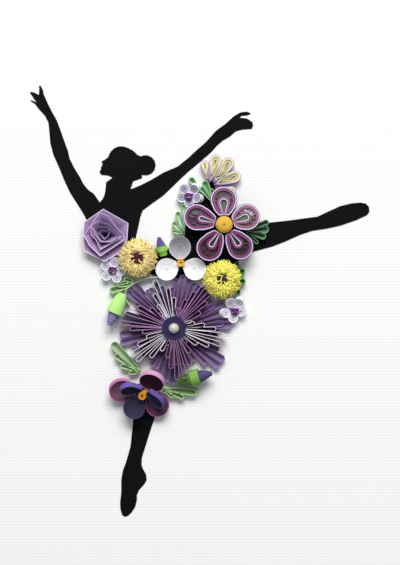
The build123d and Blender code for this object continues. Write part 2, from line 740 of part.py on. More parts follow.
for number, row in enumerate(pink_table, 1):
    with BuildPart() as pink_petal:
        add(rolled_petal(*row, pink_strip))
    finish(pink_petal, f"pansy_petal_{number}")
for number, row in enumerate(violet_table, 4):
    with BuildPart() as violet_petal:
        add(rolled_petal(*row, violet_strip))
    finish(violet_petal, f"pansy_petal_{number}")
peg_foot = spot(peg_foot_px)
peg_run, peg_angle = heading(peg_foot, spot(peg_top_px))
peg_tilt = atan2(pansy_centre_height, peg_run)
peg_rise = pansy_centre_radius * cos(peg_tilt)
with BuildPart() as pansy_centre:
    with BuildSketch(
        Plane(
            origin=(peg_foot[0], peg_foot[1], pansy_bed + peg_rise),
            x_dir=(-sin(radians(peg_angle)), cos(radians(peg_angle)), 0),
            z_dir=(
                cos(radians(peg_angle)) * cos(peg_tilt), sin(radians(peg_angle)) * cos(peg_tilt),
                sin(peg_tilt),
            ),
        )
    ):
        RegularPolygon(pansy_centre_radius, core_sides // 2)
    extrude(amount=hypot(peg_run, pansy_centre_height) - peg_rise)
finish(pansy_centre, "pansy_centre")
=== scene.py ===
import math
import random

import bmesh
import bpy
from mathutils import Matrix, Vector


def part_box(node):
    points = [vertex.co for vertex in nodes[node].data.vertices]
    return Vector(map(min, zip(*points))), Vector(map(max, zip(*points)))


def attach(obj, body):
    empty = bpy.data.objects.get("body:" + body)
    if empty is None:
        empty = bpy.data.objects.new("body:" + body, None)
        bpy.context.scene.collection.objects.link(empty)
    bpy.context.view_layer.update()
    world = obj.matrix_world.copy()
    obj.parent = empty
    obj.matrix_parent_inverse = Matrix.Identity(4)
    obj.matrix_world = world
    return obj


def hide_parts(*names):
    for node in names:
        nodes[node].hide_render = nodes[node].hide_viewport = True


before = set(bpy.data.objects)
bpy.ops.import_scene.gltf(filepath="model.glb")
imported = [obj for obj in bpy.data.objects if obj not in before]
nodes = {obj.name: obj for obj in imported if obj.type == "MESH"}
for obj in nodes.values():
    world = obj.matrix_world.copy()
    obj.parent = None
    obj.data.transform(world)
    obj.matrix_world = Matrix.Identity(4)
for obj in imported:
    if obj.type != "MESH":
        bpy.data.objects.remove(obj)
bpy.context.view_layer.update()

# Backing card
# A sheet of white card, A4, with fine ridges pressed across it. Everything else is glued to its
# face, and it lies flat on the table.
mm = 0.001
pixel = 0.5
middle_px = (200, 282.5)
card_colour = (0.885, 0.885, 0.875)
ridge_pitch = 1.45
ridge_depth = 0.035


class Wire:
    """An output of a node. Wires add, subtract and multiply like numbers."""

    def __init__(self, tree, socket=None):
        self.tree = tree
        self.socket = socket

    def node(self, kind, values, output=0, **settings):
        """Any node, from the values or wires of its sockets and its settings."""
        made = self.tree.nodes.new(kind)
        for name, value in settings.items():
            setattr(made, name, value)
        for name, value in values.items():
            plug(value, made.inputs[name])
        return Wire(self.tree, made.outputs[output])

    def maths(self, operation, first, second=0.0):
        """A Math node's result."""
        return self.node("ShaderNodeMath", {0: first, 1: second}, operation=operation)

    def mixed(self, share, first, second):
        """A colour between two colours."""
        return self.node("ShaderNodeMix", {0: share, 6: first, 7: second}, 2, data_type="RGBA")

    def __add__(self, other):
        return self.maths("ADD", self, other)

    def __sub__(self, other):
        return self.maths("SUBTRACT", self, other)

    def __rsub__(self, other):
        return self.maths("SUBTRACT", other, self)

    def __mul__(self, other):
        return self.maths("MULTIPLY", self, other)

    __radd__ = __add__
    __rmul__ = __mul__


def plug(value, socket):
    """Links a wire to a socket, or sets the socket's plain value."""
    if isinstance(value, Wire):
        value.tree.links.new(value.socket, socket)
    else:
        socket.default_value = value


def surface(name, grains, colour_of, rough, bump=None, **sockets):
    """A material. Two random grains, their sizes in millimetres, give its colour. The second one
    also gives its roughness, by a start and a span, and its bump, by a strength and a depth."""
    material = bpy.data.materials.new(name)
    material.use_nodes = True
    start = Wire(material.node_tree)
    place = start.node("ShaderNodeTexCoord", {}, 3)
    place = start.node("ShaderNodeVectorMath", {0: place, "Scale": 1 / mm}, operation="SCALE")
    coarse, fine = [
        start.node("ShaderNodeTexNoise", {"Vector": place, "Scale": 1 / size, "Detail": 3.0})
        for size in grains
    ]
    sockets["Base_Color"] = colour_of(start, coarse, fine)
    sockets["Roughness"] = rough[0] + fine * rough[1]
    if bump:
        relief = {"Strength": bump[0], "Distance": bump[1] * mm, "Height": fine}
        sockets["Normal"] = start.node("ShaderNodeBump", relief)
    shader = material.node_tree.nodes["Principled BSDF"]
    for label, value in sockets.items():
        plug(value, shader.inputs[label.replace("_", " ")])
    return material


def card_tone(start, mottle, fibre):
    """Matt white with a faint mottle and fibres."""
    dark = tuple(0.97 * c for c in card_colour)
    return start.mixed(mottle * 0.5 + fibre * 0.4, (*card_colour, 1), (*dark, 1))


def meshed(shape, name, *papers):
    """The plain mesh of a shape, with its papers."""
    mesh = bpy.data.meshes.new(name)
    shape.to_mesh(mesh)
    shape.free()
    for chosen in papers:
        mesh.materials.append(chosen)
    return mesh


def skinned(shape, rows, smooth=False):
    """Joins closed rows of points by four-cornered faces."""
    for one, two in zip(rows, rows[1:]):
        for i in range(len(one)):
            j = (i + 1) % len(one)
            shape.faces.new((one[i], one[j], two[j], two[i])).smooth = smooth


def ridged_sheet(size, thickness, material):
    """A flat sheet, its face pressed into ridges that run from side to side."""
    count = round(size.y / ridge_pitch) * 4
    shape = bmesh.new()
    rows = []
    for i in range(count + 1):
        y = size.y * (i / count - 0.5)
        up = thickness - ridge_depth * (0.5 - 0.5 * math.cos(math.pi / 2 * i))
        rows.append([shape.verts.new((size.x * side, y, z)) for side, z in (
            (-0.5, 0.0), (-0.5, up), (0.5, up), (0.5, 0.0)
        )])
    skinned(shape, rows)
    shape.faces.new(rows[0])
    shape.faces.new(rows[-1])
    bmesh.ops.recalc_face_normals(shape, faces=shape.faces)
    return meshed(shape, "ridged_sheet", material)


def spot(place_px):
    """A pixel of the picture as a place on the card, in millimetres."""
    return (place_px[0] - middle_px[0]) * pixel, (middle_px[1] - place_px[1]) * pixel


def rotation(angle, axis="Z"):
    """A turn about an axis, in degrees."""
    return Matrix.Rotation(math.radians(angle), 4, axis)


def seat(place_px, low, angle=0.0, tilt=0.0):
    """Where a piece sits: its pixel, its foot's height, its turn and its rise in degrees."""
    return Matrix.Translation((*spot(place_px), low)) @ rotation(angle) @ rotation(-tilt, "Y")


def placed(name, data):
    """A new object in the scene."""
    made = bpy.data.objects.new(name, data)
    bpy.context.scene.collection.objects.link(made)
    return made


def assemble(name, parts, where, slot, *stands_for):
    """One finished piece from its meshes, set in place and tied to the frame."""
    shape = bmesh.new()
    papers = []
    for mesh in parts:
        first = len(shape.faces)
        shape.from_mesh(mesh)
        shape.faces.ensure_lookup_table()
        for face in shape.faces[first:]:
            chosen = mesh.materials[face.material_index]
            if chosen not in papers:
                papers.append(chosen)
            face.material_index = papers.index(chosen)
    shape.transform(Matrix.Scale(mm, 4) @ where)
    piece = placed(name, meshed(shape, name, *papers))
    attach(piece, "root")
    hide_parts(*stands_for)


card_low, card_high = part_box("backing_card")
card_size = (card_high - card_low) / mm
white_card = surface(
    "white_card", (9.0, 0.5), card_tone, (0.75, 0.15), (0.3, 0.02), Specular_IOR_Level=0.25
)
sheet = ridged_sheet(card_size, card_size.z, white_card)
assemble("ridged_card", [sheet], Matrix.Identity(4), "white_card", "backing_card")

# Dancer cut from black paper
# Two pieces of black paper with a satin face, glued flat on the card: the arms, head, body and
# raised leg in one, and the standing leg.


def black_tone(start, cloud, fine):
    """Black, a little bluish and uneven."""
    return start.mixed(cloud, (0.0008, 0.0009, 0.0013, 1), (0.0045, 0.0048, 0.0065, 1))


black_paper = surface(
    "satin_black_paper", (30.0, 0.35), black_tone, (0.5, 0.25), (0.3, 0.03),
    Specular_IOR_Level=0.08,
)
for name in ("dancer_silhouette", "dancer_standing_leg"):
    nodes[name].data.materials.clear()
    nodes[name].data.materials.append(black_paper)

# Leaves
# Each leaf is one green strip, stood on edge and bent to and fro into a fan of loops that meet
# at a root. The loops lean, so their inner faces show, and their upper edges catch the light.
paper_thickness = 0.32
chance = random.Random(7)


def linear(code):
    """A colour written as six hexadecimal digits, as the shader takes it."""
    parts = [int(code[i : i + 2], 16) / 255 for i in (0, 2, 4)]
    return tuple(c / 12.92 if c <= 0.04045 else ((c + 0.055) / 1.055) ** 2.4 for c in parts) + (1,)


def marked(start, name):
    """A number that the piece's mesh carries at each point."""
    return start.node(
        "ShaderNodeAttribute", {}, 2, attribute_type="GEOMETRY", attribute_name=name
    )


def paper(name, code, painted_shade_and_tone=None, spots=0.35):
    """Dyed, mottled strip paper with fine fibres, darker where its mesh marks painted shade and
    tone.
    """
    light = linear(code)
    dark = linear(painted_shade_and_tone) if painted_shade_and_tone else tuple(0.72 * c for c in light[:3]) + (1,)

    def tone(start, mottle, fibre):
        share = mottle * spots + fibre * 0.15 + marked(start, "painted_shade_and_tone")
        return start.mixed(start.node("ShaderNodeClamp", {0: share}), light, dark)

    return surface(name, (2.4, 0.22), tone, (0.75, 0.15), (0.4, 0.03), Specular_IOR_Level=0.3)


def levels(node):
    """How far a CAD node's foot is above the table and how tall it is, in millimetres."""
    low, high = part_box(node)
    return low.z / mm, high.z / mm - low.z / mm


def half_width(node):
    """Half the width of a CAD node, in millimetres."""
    low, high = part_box(node)
    return (high.x - low.x) / mm / 2


def heading(start_px, end_px):
    """Length in millimetres and direction in degrees from one pixel to another."""
    dx = (end_px[0] - start_px[0]) * pixel
    dy = (start_px[1] - end_px[1]) * pixel
    return math.hypot(dx, dy), math.degrees(math.atan2(dy, dx))


def turned(points, angle):
    """Points of an outline turned about the origin, in degrees."""
    c = math.cos(math.radians(angle))
    s = math.sin(math.radians(angle))
    return [(c * x - s * y, s * x + c * y) for x, y in points]


def toward(angle):
    """A step of one millimetre over the card, in degrees."""
    return Vector((math.cos(math.radians(angle)), math.sin(math.radians(angle)), 0))


def ring(radius, steps=40, flat=1.0):
    """Points of a circle, or of an oval where it is flattened."""
    angles = [2 * math.pi * i / steps for i in range(steps)]
    return [(radius * math.cos(a), radius * flat * math.sin(a)) for a in angles]


def drop(near, far, near_half, far_half, bows=(0.0, 0.0), steps=20, sides=6):
    """A drop along +X, from its root along one side, round its far end and back."""
    middle = far - far_half
    swell = math.asin(min(max((far_half - near_half) / max(middle - near, 0.01), 0.0), 0.9))
    span = math.pi / 2 + swell
    angles = [span * (1 - 2 * i / steps) for i in range(steps + 1)]
    end = [(middle + far_half * math.cos(a), far_half * math.sin(a)) for a in angles]
    start_x, start_y = end[0]

    def side(bow):
        return [
            (
                near + (start_x - near) * t,
                near_half + (start_y - near_half) * t + bow * math.sin(math.pi * t),
            )
            for t in (i / sides for i in range(sides))
        ]

    back = [(x, -y) for x, y in reversed(side(bows[1]))]
    return side(bows[0]) + end + back


def open_tree(name, sockets):
    """A geometry node tree and a wire from each of its named inputs."""
    tree = bpy.data.node_groups.new(name, "GeometryNodeTree")
    for label, kind in sockets.items():
        tree.interface.new_socket(label, in_out="INPUT", socket_type="NodeSocket" + kind)
    tree.interface.new_socket("Result", in_out="OUTPUT", socket_type="NodeSocketGeometry")
    given = tree.nodes.new("NodeGroupInput")
    return tree, [Wire(tree, given.outputs[label]) for label in sockets]


def strip_tree():
    """Nodes that stand a paper strip on edge along each line of a mesh."""
    sockets = {
        "Lines": "Geometry", "Strip Width": "Float", "Strip Thickness": "Float",
        "Face Paper": "Material", "Edge Paper": "Material",
    }
    tree, (lines, width, thickness, face_paper, edge_paper) = open_tree("standing_strips", sockets)
    start = Wire(tree)
    curve = start.node("GeometryNodeMeshToCurve", {"Mesh": lines})
    upright = start.node("GeometryNodeSetCurveNormal", {"Curve": curve}, mode="Z_UP")
    section = start.node(
        "GeometryNodeCurvePrimitiveQuadrilateral", {"Width": thickness, "Height": width}
    )
    swept = start.node(
        "GeometryNodeCurveToMesh",
        {"Curve": upright, "Profile Curve": section, "Fill Caps": True},
    )
    flat = start.node("GeometryNodeSetShadeSmooth", {"Geometry": swept, "Shade Smooth": False})
    up = start.node("ShaderNodeSeparateXYZ", {0: start.node("GeometryNodeInputNormal", {})}, 2)
    on_edge = start.node(
        "FunctionNodeCompare", {0: up, 1: 0.6}, data_type="FLOAT", operation="GREATER_THAN"
    )
    real = start.node("GeometryNodeRealizeInstances", {"Geometry": flat})
    faces = start.node("GeometryNodeSetMaterial", {"Geometry": real, "Material": face_paper})
    edges = start.node(
        "GeometryNodeSetMaterial",
        {"Geometry": faces, "Selection": on_edge, "Material": edge_paper},
    )
    tree.links.new(edges.socket, tree.nodes.new("NodeGroupOutput").inputs[0])
    return tree


def grown(mesh, tree, values):
    """The plain mesh that a geometry node tree makes of a mesh, given its inputs' values."""
    carrier = placed("carrier", mesh)
    modifier = carrier.modifiers.new("grow", "NODES")
    modifier.node_group = tree
    for item in tree.interface.items_tree:
        if item.in_out == "INPUT" and item.name in values:
            modifier[item.identifier] = values[item.name]
    graph = bpy.context.evaluated_depsgraph_get()
    plain = bpy.data.meshes.new_from_object(carrier.evaluated_get(graph))
    carrier.modifiers.remove(modifier)
    bpy.data.objects.remove(carrier)
    return plain


standing_strips = strip_tree()


def sheeted(rows, shades, material, smooth=False):
    """A surface over rows of points in space, each row with its depth of shade."""
    shape = bmesh.new()
    layer = shape.verts.layers.float.new("painted_shade_and_tone")
    made = []
    for row, shade in zip(rows, shades):
        made.append([shape.verts.new(point) for point in row])
        for i, vertex in enumerate(made[-1]):
            vertex[layer] = shade[i] if isinstance(shade, list) else shade
    skinned(shape, made, smooth)
    bmesh.ops.remove_doubles(shape, verts=shape.verts, dist=0.0001)
    if shape.calc_volume(signed=True) < 0:
        bmesh.ops.reverse_faces(shape, faces=shape.faces)
    return meshed(shape, "sheeted", material)


def troughs(loops, floor, material, rim=0.0, axis=0.9, root=0.0):
    """The leaning inner faces of strip loops, with shade painted darker to their axes and roots."""
    meshes = []
    for outline, top, closed, angle in loops:
        straight = turned(outline, -angle)
        low_x = min(x for x, y in straight)
        high_x = max(x for x, y in straight)
        half = max(abs(y) for x, y in straight)
        rows = []
        shades = []
        for share in (0.0, 0.35, 0.7, 1.0):
            row = []
            shade = []
            for x, y in straight:
                axis_x = min(max(x, low_x + half * 0.5), high_x - half)
                place = turned([(x + (axis_x - x) * share, y * (1 - share))], angle)[0]
                row.append((*place, top - 0.1 + (floor - top) * share**0.8))
                shade.append(
                    rim + (axis - rim) * share + root * (high_x - x) / (high_x - low_x)
                )
            rows.append(row)
            shades.append(shade)
        meshes.append(sheeted(rows, shades, material, smooth=True))
    return meshes


def strips(lines, width, face_paper, edge_paper, thickness=paper_thickness):
    """Paper strips on edge along lines: points, height, whether it closes, angle and shade."""
    mesh = bpy.data.meshes.new("lines")
    points = []
    edges = []
    shades = []
    for outline, top, closed, *rest in lines:
        first = len(points)
        points += [(x, y, top - width / 2) for x, y in outline]
        shades += [rest[1] if len(rest) > 1 else 0.0] * len(outline)
        edges += [(i, i + 1) for i in range(first, len(points) - 1)]
        if closed:
            edges.append((len(points) - 1, first))
    mesh.from_pydata(points, edges, [])
    mesh.attributes.new("painted_shade_and_tone", "FLOAT", "POINT").data.foreach_set("value", shades)
    return grown(
        mesh, standing_strips,
        {
            "Strip Width": width, "Strip Thickness": thickness, "Face Paper": face_paper,
            "Edge Paper": edge_paper,
        },
    )


# A leaf's root, the colours of its faces, of the shade painted on them and of its edges, then each
# loop's tip, half its width and, if it starts away from the root, how far, in millimetres.
leaf_table_px = [
    (
        (246, 231), "84A292", "2E403A", "6AA25E",
        [(268.5, 221.6, 1.5), (268.8, 229.2, 2.0), (265.8, 237.4, 1.6), (257.7, 243.6, 1.0)],
    ),
    (
        (214.5, 204), "B8DCB4", "5E9468", "A4D69C",
        [(200.8, 187.2, 1.5), (203.8, 181.2, 1.8), (211.4, 188.8, 1.2), (189.4, 178.2, 1.7, 11.8)],
    ),
    (
        (183.4, 233), "98BC70", "CCE6DA", "A6C47C",
        [(184.1, 204, 1.35), (177.4, 211.8, 1.4), (172.8, 222.3, 1.3), (171.8, 231, 1.1)],
    ),
    (
        (134, 283.2), "B0CCA8", "668C54", "B6DC9C",
        [(109.9, 291.2, 1.65), (117.2, 285, 1.3), (124.4, 278.6, 1.1)],
    ),
    (
        (140.3, 371.4), "B2C8A8", "86A07A", "B2DA8E",
        [(112.1, 342.6, 2.1), (115, 355.1, 1.4), (120.6, 365.4, 1.2), (128.7, 372.9, 1.0)],
    ),
    (
        (164.6, 388.6), "9CB48C", "6E8E56", "BCE39A",
        [
            (197, 392.6, 1.6), (199.4, 390, 0.5, 14.5), (184, 398, 1.1), (172.9, 397.2, 0.95),
            (163.9, 393.2, 0.8),
        ],
    ),
    (
        (229.5, 279.5), "4E8C48", "2F6A34", "4C9A4C",
        [(237.6, 262, 1.2), (244.6, 270, 1.5), (245.4, 282, 1.5), (239.4, 294.6, 1.3)],
    ),
]
leaf_bellies = {4: 0.3, 5: 0.1, 6: 0.25}
stem_px = [
    (159.8, 277.1), (149, 277.6), (141.4, 279.9), (134.9, 283.1), (131, 285.4), (127, 288.7),
    (125.3, 292.5), (125.8, 297.9), (127.8, 302.2), (129.5, 305.1),
]
for number, (root_px, face_code, shade_code, edge_code, tips_px) in enumerate(leaf_table_px, 1):
    low, tall = levels(f"leaf_{number}")
    face_green = paper(f"leaf_{number}_face", face_code, shade_code)
    edge_green = paper(f"leaf_{number}_edge", edge_code)
    loops = []
    for tip_x, tip_y, half, *near in tips_px:
        length, angle = heading(root_px, (tip_x, tip_y))
        belly = leaf_bellies.get(number, 0.0)
        bows = [half * (belly + chance.uniform(0.0, 0.3)) for side in (1, 2)]
        inset = paper_thickness / 2
        outline = drop(sum(near), length - inset, 0.15, half - inset, bows)
        loops.append((turned(outline, angle), tall, True, angle))
    parts = [strips(loops, tall, face_green, edge_green)]
    # The loops' inner faces are painted darker towards their axes as shade; the third leaf's are
    # painted paler towards its root.
    to_axis, to_root = (0.1, 0.9) if number == 3 else (0.9, 0.0)
    parts += troughs(loops, tall * 0.45, face_green, 0.0, to_axis, to_root)
    if number == 4:
        steps = [heading(root_px, place_px) for place_px in stem_px]
        stem = [turned([(run, 0)], angle)[0] for run, angle in steps]
        parts.append(strips([(stem, tall * 1.05, False)], tall * 0.9, face_green, edge_green, 0.45))
    assemble(f"leaf_{number}_loops", parts, seat(root_px, low), "green_paper", f"leaf_{number}")

# Fan behind the purple flower
# Five drops in a fan. Each is a cream strip rolled loosely and pinched at one end, its turns
# sprung open inside, with a lilac strip wrapped round it.
# Each drop's root and tip, its width in pixels and how far its sides swell in millimetres.
fan_drops_px = [
    ((207.6, 180.3), (203.9, 160.6), 8.0, 0.1, 0.1), ((209.7, 181.8), (217.3, 155), 12, 0.1, 0.5),
    ((213.4, 182.1), (231.7, 158.9), 12, 0.3, 0.8), ((214.5, 184.9), (240.2, 174.4), 12, 0.8, 0.3),
    ((215.5, 187.7), (235.8, 191.4), 8.6, 0.0, 0.0),
]
# The cream strips' faces are painted gold-brown as the shade between the turns; their edges stay
# cream.
cream_face_painted_shade = paper("fan_cream_face", "C09A54", "6E4C1C")
cream_edge = paper("fan_cream_edge", "FAF2C4", "EADCA4")
wrap_lilac = paper("fan_lilac_wrap", "A98CC6", "7F66A0")
wrap_lilac_edge = paper("fan_lilac_edge", "B99AD0", "A488C4")
for number, (root_px, tip_px, width_px, *swells) in enumerate(fan_drops_px, 1):
    low, tall = levels(f"fan_petal_{number}")
    length, angle = heading(root_px, tip_px)
    half = width_px * pixel / 2
    wrap = [(drop(0, length - 0.15, 0.2, half - 0.15, swells), tall, True)]
    solid = [
        (drop(0.5 + 1.4 * inset, length - inset, 0.05, half - inset, swells), tall, True)
        for inset in (0.45, 0.75, 1.0)
    ]
    loose = []
    turns = int(half / 0.5)
    for k in range(1, turns):
        share = k / turns
        inner = (half - 1.1) * (1 - share) + 0.12
        far = length - 1.1 - (half - 1.0) * share * chance.uniform(0.85, 1.0)
        root = length * (0.2 + 0.36 * share)
        bows = [(1 - share) * swell + chance.uniform(-0.1, 0.15) for swell in swells]
        loose.append((drop(root, far, 0.04, inner, bows, 12), tall - chance.uniform(0, 0.5), True))
    assemble(
        f"fan_drop_{number}",
        [
            strips(wrap, tall, wrap_lilac, wrap_lilac_edge, 0.3),
            strips(solid, tall * 0.99, cream_face_painted_shade, cream_edge, 0.27),
            strips(loose, tall * 0.8, cream_face_painted_shade, cream_edge, 0.2),
        ],
        seat(root_px, low, angle), "fan_paper", f"fan_petal_{number}",
    )

# Husked flower
# Long strips bent to and fro into fans of loops, six fans on six. The upper fans have white and
# pink edges, the lower ones lean open and are mauve. A tight navy coil and a half pearl close it.
husk_px = (174.1, 328)
# Each loop's direction and how far its tip is from the middle in pixels, then half its width.
upper_fans_px = [
    [
        (90, 31, 1.2), (98.5, 41, 1.1), (112, 52, 1.35), (120, 40, 1.1), (124, 29, 1.0),
        (129, 18, 0.8),
    ],
    [
        (31, 31, 1.2), (38.75, 42, 1.2), (44.5, 52, 1.15), (55, 52, 1.15), (60, 42, 1.2),
        (67, 31, 1.2), (74, 21, 1.3), (82, 21, 1.0),
    ],
    [
        (325, 28, 1.2), (333, 39, 1.2), (341, 50, 1.3), (351.5, 52, 1.35), (359, 42, 1.2),
        (6.5, 31, 1.2), (15, 21.5, 1.1), (23, 19, 0.8),
    ],
    [
        (250, 19, 0.9), (258, 31, 1.2), (266, 41, 1.25), (274, 52, 1.35), (283, 52, 1.35),
        (294, 41, 1.3), (302.5, 30, 1.2), (310, 20, 0.9),
    ],
    [
        (198, 29, 1.1), (205, 40, 1.25), (212, 50.5, 1.25), (221, 49.5, 1.2), (231, 37.5, 1.2),
        (240.5, 26, 1.1),
    ],
    [
        (133, 21, 0.9), (140, 31, 1.2), (149, 42, 1.3), (160, 52, 1.7), (174, 54, 1.2),
        (180.5, 44, 1.1), (187, 32, 1.1),
    ],
]
lower_fans_px = [
    (118, 30), (125.5, 47), (132.5, 59), (137.5, 56), (142.5, 60), (147.5, 46), (178, 45),
    (187, 55), (196, 56), (204, 46), (240, 45), (246, 45), (253, 55), (262, 55), (269, 57),
    (285, 38), (302, 39), (311, 49), (319, 60), (327, 60), (334, 50), (3, 58), (5, 50), (10, 56),
    (18, 57), (27, 57), (30, 47), (65, 50), (72, 51), (80, 54), (88, 50), (92, 41), (36, 47),
    (44, 52), (52, 52), (59, 50), (99, 42), (107, 44), (158, 38), (168, 40), (214, 40), (223, 42),
    (232, 40), (278, 44), (293, 40), (341, 42), (350, 44), (357, 46),
]
pale_fans_px = [(112, 49), (121, 47), (128, 45), (164, 51), (170, 53), (275, 49)]
plum_face = paper("husk_plum_face", "74446E", "40203E")
mauve_face = paper("husk_mauve_face", "8C7EA8", "46284A", spots=0.2)
mauve_edge = paper("husk_mauve_edge", "9A6AA6", "6E3F7C")
pale_face = paper("husk_pale_face", "AEA8C4", "8A84A0", spots=0.2)
fan_edges = [
    paper(f"husk_edge_{k}", *codes) for k, codes in enumerate((
        ("F4F2FA", "D8D2E6"), ("B98ABF", "8E5A96"), ("F6F4FA", "DAD2E8"), ("A080A4", "74527A"),
        ("F6F4FA", "DAD2E8"), ("C596CC", "A676B4"),
    ))
]


def husk_loop(angle, tip_px, half, root, top):
    """One loop of a fan, its root at the coil and its tip as far as it reaches."""
    bows = (chance.uniform(-0.1, 0.2), chance.uniform(-0.1, 0.2))
    far = tip_px * pixel - paper_thickness / 2
    outline = drop(root, far, 0.12, half - paper_thickness / 2, bows)
    return turned(outline, angle), top, True, angle


disc_low, disc_tall = levels("husked_flower_disc")
disc_radius = half_width("husked_flower_disc")
upper_strip = disc_low - levels("husked_upper_petal_1")[0]
for number, (loops_px, edge) in enumerate(zip(upper_fans_px, fan_edges), 1):
    low, tall = levels(f"husked_upper_petal_{number}")
    # The third fan lies to both sides of the X axis, so its own direction is left at nothing.
    turn = 0 if number == 3 else sum(angle for angle, tip, half in loops_px) / len(loops_px)
    reach = max(tip for angle, tip, half in loops_px) * pixel
    climb = math.degrees(math.atan2(tall - upper_strip, reach))
    root = disc_radius * (0.6 if climb < 1 else 1.1)
    lines = [husk_loop(angle - turn, tip, half, root, upper_strip) for angle, tip, half in loops_px]
    # The loops' inner faces, cut short of the tips, are painted darker to their axes and roots as
    # shade.
    shaded = [
        husk_loop(angle - turn, min(tip, 38), half, root, upper_strip)
        for angle, tip, half in loops_px
    ]
    assemble(
        f"husked_upper_fan_{number}",
        [strips(lines, upper_strip, plum_face, edge, 0.25)]
        + troughs(shaded, upper_strip * 0.3, plum_face, 0.1, 0.8, 0.3),
        seat(husk_px, low, turn, climb), "mauve_paper", f"husked_upper_petal_{number}",
    )
low, lower_strip = levels("husked_lower_petals")
lower_parts = []
for fans_px, face, edge in (
    (lower_fans_px, mauve_face, mauve_edge), (pale_fans_px, pale_face, pale_face)
):
    lines = []
    for angle, tip in fans_px:
        half = max(tip * pixel * math.tan(math.radians(3.7)), 1.0)
        lines.append(husk_loop(angle, tip, half, disc_radius, lower_strip))
    lower_parts.append(strips(lines, lower_strip, face, edge, 0.2))
    # The loops' inner faces are painted darker towards their roots, as shade.
    lower_parts += troughs(lines, lower_strip * 0.45, face, 0.0, 0.35, 0.75)
assemble(
    "husked_lower_fans", lower_parts, seat(husk_px, low), "mauve_paper", "husked_lower_petals"
)


def wound(outline_at, turns, top_at, papers, groove=0.12, pit=0.7, tone=0.2, wall_lines=0):
    """A strip wound tight: its foot, outer wall, then turn by turn with fine grooves between.

    The papers are pairs of a number of turns and a paper, from the outside inwards.
    """
    # Shade is painted: darker at the foot, in dark lines round the wall where the turns step, in
    # each groove, on every second turn as far as the tone says, and in the slit at the middle.
    foot = outline_at(0.0)
    x_middle = sum(x for x, y in foot) / len(foot)
    rows = [[(x_middle, 0, 0)] * len(foot), [(x, y, 0) for x, y in foot]]
    shades = [0.4, 0.3]
    for k in range(wall_lines):
        for off, shade in ((-0.05, 0.0), (0.0, 0.9), (0.05, 0.0)):
            share = (k + 1.3) / (wall_lines + 1) + off
            rows.append([(x, y, top_at(x, y, 0.0) * share) for x, y in foot])
            shades.append(shade)
    meshes = []
    count = 0
    for number, material in papers:
        for k in range(count, min(count + number, turns)):
            sink = groove * chance.uniform(0.4, 1.5)
            painted_dimming = tone * (k % 2) + chance.uniform(0, 0.4) * tone
            in_groove = (0.85, sink, painted_dimming + 3 * sink)
            for along, down, shade in ((0.0, 0.0, painted_dimming), (0.65, 0.0, painted_dimming), in_groove):
                share = (k + along) / turns
                rows.append([(x, y, top_at(x, y, share) - down) for x, y in outline_at(share)])
                shades.append(shade)
        count += number
        if count >= turns:
            last = [(x, y, z - pit) for x, y, z in rows[-1]]
            middle = sum((Vector(point) for point in last), Vector()) / len(last)
            rows += [last, [tuple(middle)] * len(last)]
            shades += [1.0, 1.0]
        meshes.append(sheeted(rows, shades, material))
        rows = rows[-1:]
        shades = shades[-1:]
    return meshes


def tight_coil(radius, high, papers, crown=0.0, hole=0.3, pitch=0.4, flat=0.4, **more):
    """A round tight coil, its middle pushed up by the crown, or down if negative."""

    def outline_at(share):
        return ring(hole + (radius - hole) * (1 - share), 36, 1 - (1 - flat) * share**4)

    def top_at(x, y, share):
        return high + crown * math.sqrt(max(1 - (1 - share) ** 2, 0))

    turns = int((radius - hole) / pitch)
    return wound(outline_at, turns, top_at, papers, **more)


def revolved(profile, material, steps=40, smooth=False):
    """A shape turned about its own X axis from its stations, radii and depths of shade."""
    profile = [(profile[0][0], 0), *profile, (profile[-1][0], 0)]
    rows = [[(station, y, z) for y, z in ring(radius, steps)] for station, radius, *painted_dimming in profile]
    shades = [sum(painted_dimming) for station, radius, *painted_dimming in profile]
    return sheeted(rows, shades, material, smooth=smooth)


husk_navy = paper("husk_navy", "372E58", "1A1238")
assemble(
    "husked_flower_coil",
    tight_coil(disc_radius, disc_tall, [(40, husk_navy)], crown=-0.25, hole=1.6),
    seat(husk_px, disc_low), "navy_paper", "husked_flower_disc",
)


def pearl_tone(start, cloud, fine):
    """Warm grey with a cool cast."""
    return start.mixed(cloud, (0.62, 0.6, 0.5, 1), (0.42, 0.45, 0.38, 1))


pearl_plastic = surface(
    "pearl_plastic", (2.0, 2.0), pearl_tone, (0.16, 0.1), Coat_Weight=0.6, Coat_Roughness=0.08,
    Sheen_Weight=0.2,
)
upright = rotation(-90, "Y")
low, pearl = levels("husked_flower_pearl")
arc = [math.pi / 2 * i / 12 for i in range(13)]
profile = [(pearl * math.sin(a), pearl * math.cos(a)) for a in arc[:-1]]
assemble(
    "husked_flower_half_pearl", [revolved(profile, pearl_plastic, smooth=True)],
    seat(husk_px, low) @ upright, "pearl_plastic", "husked_flower_pearl",
)

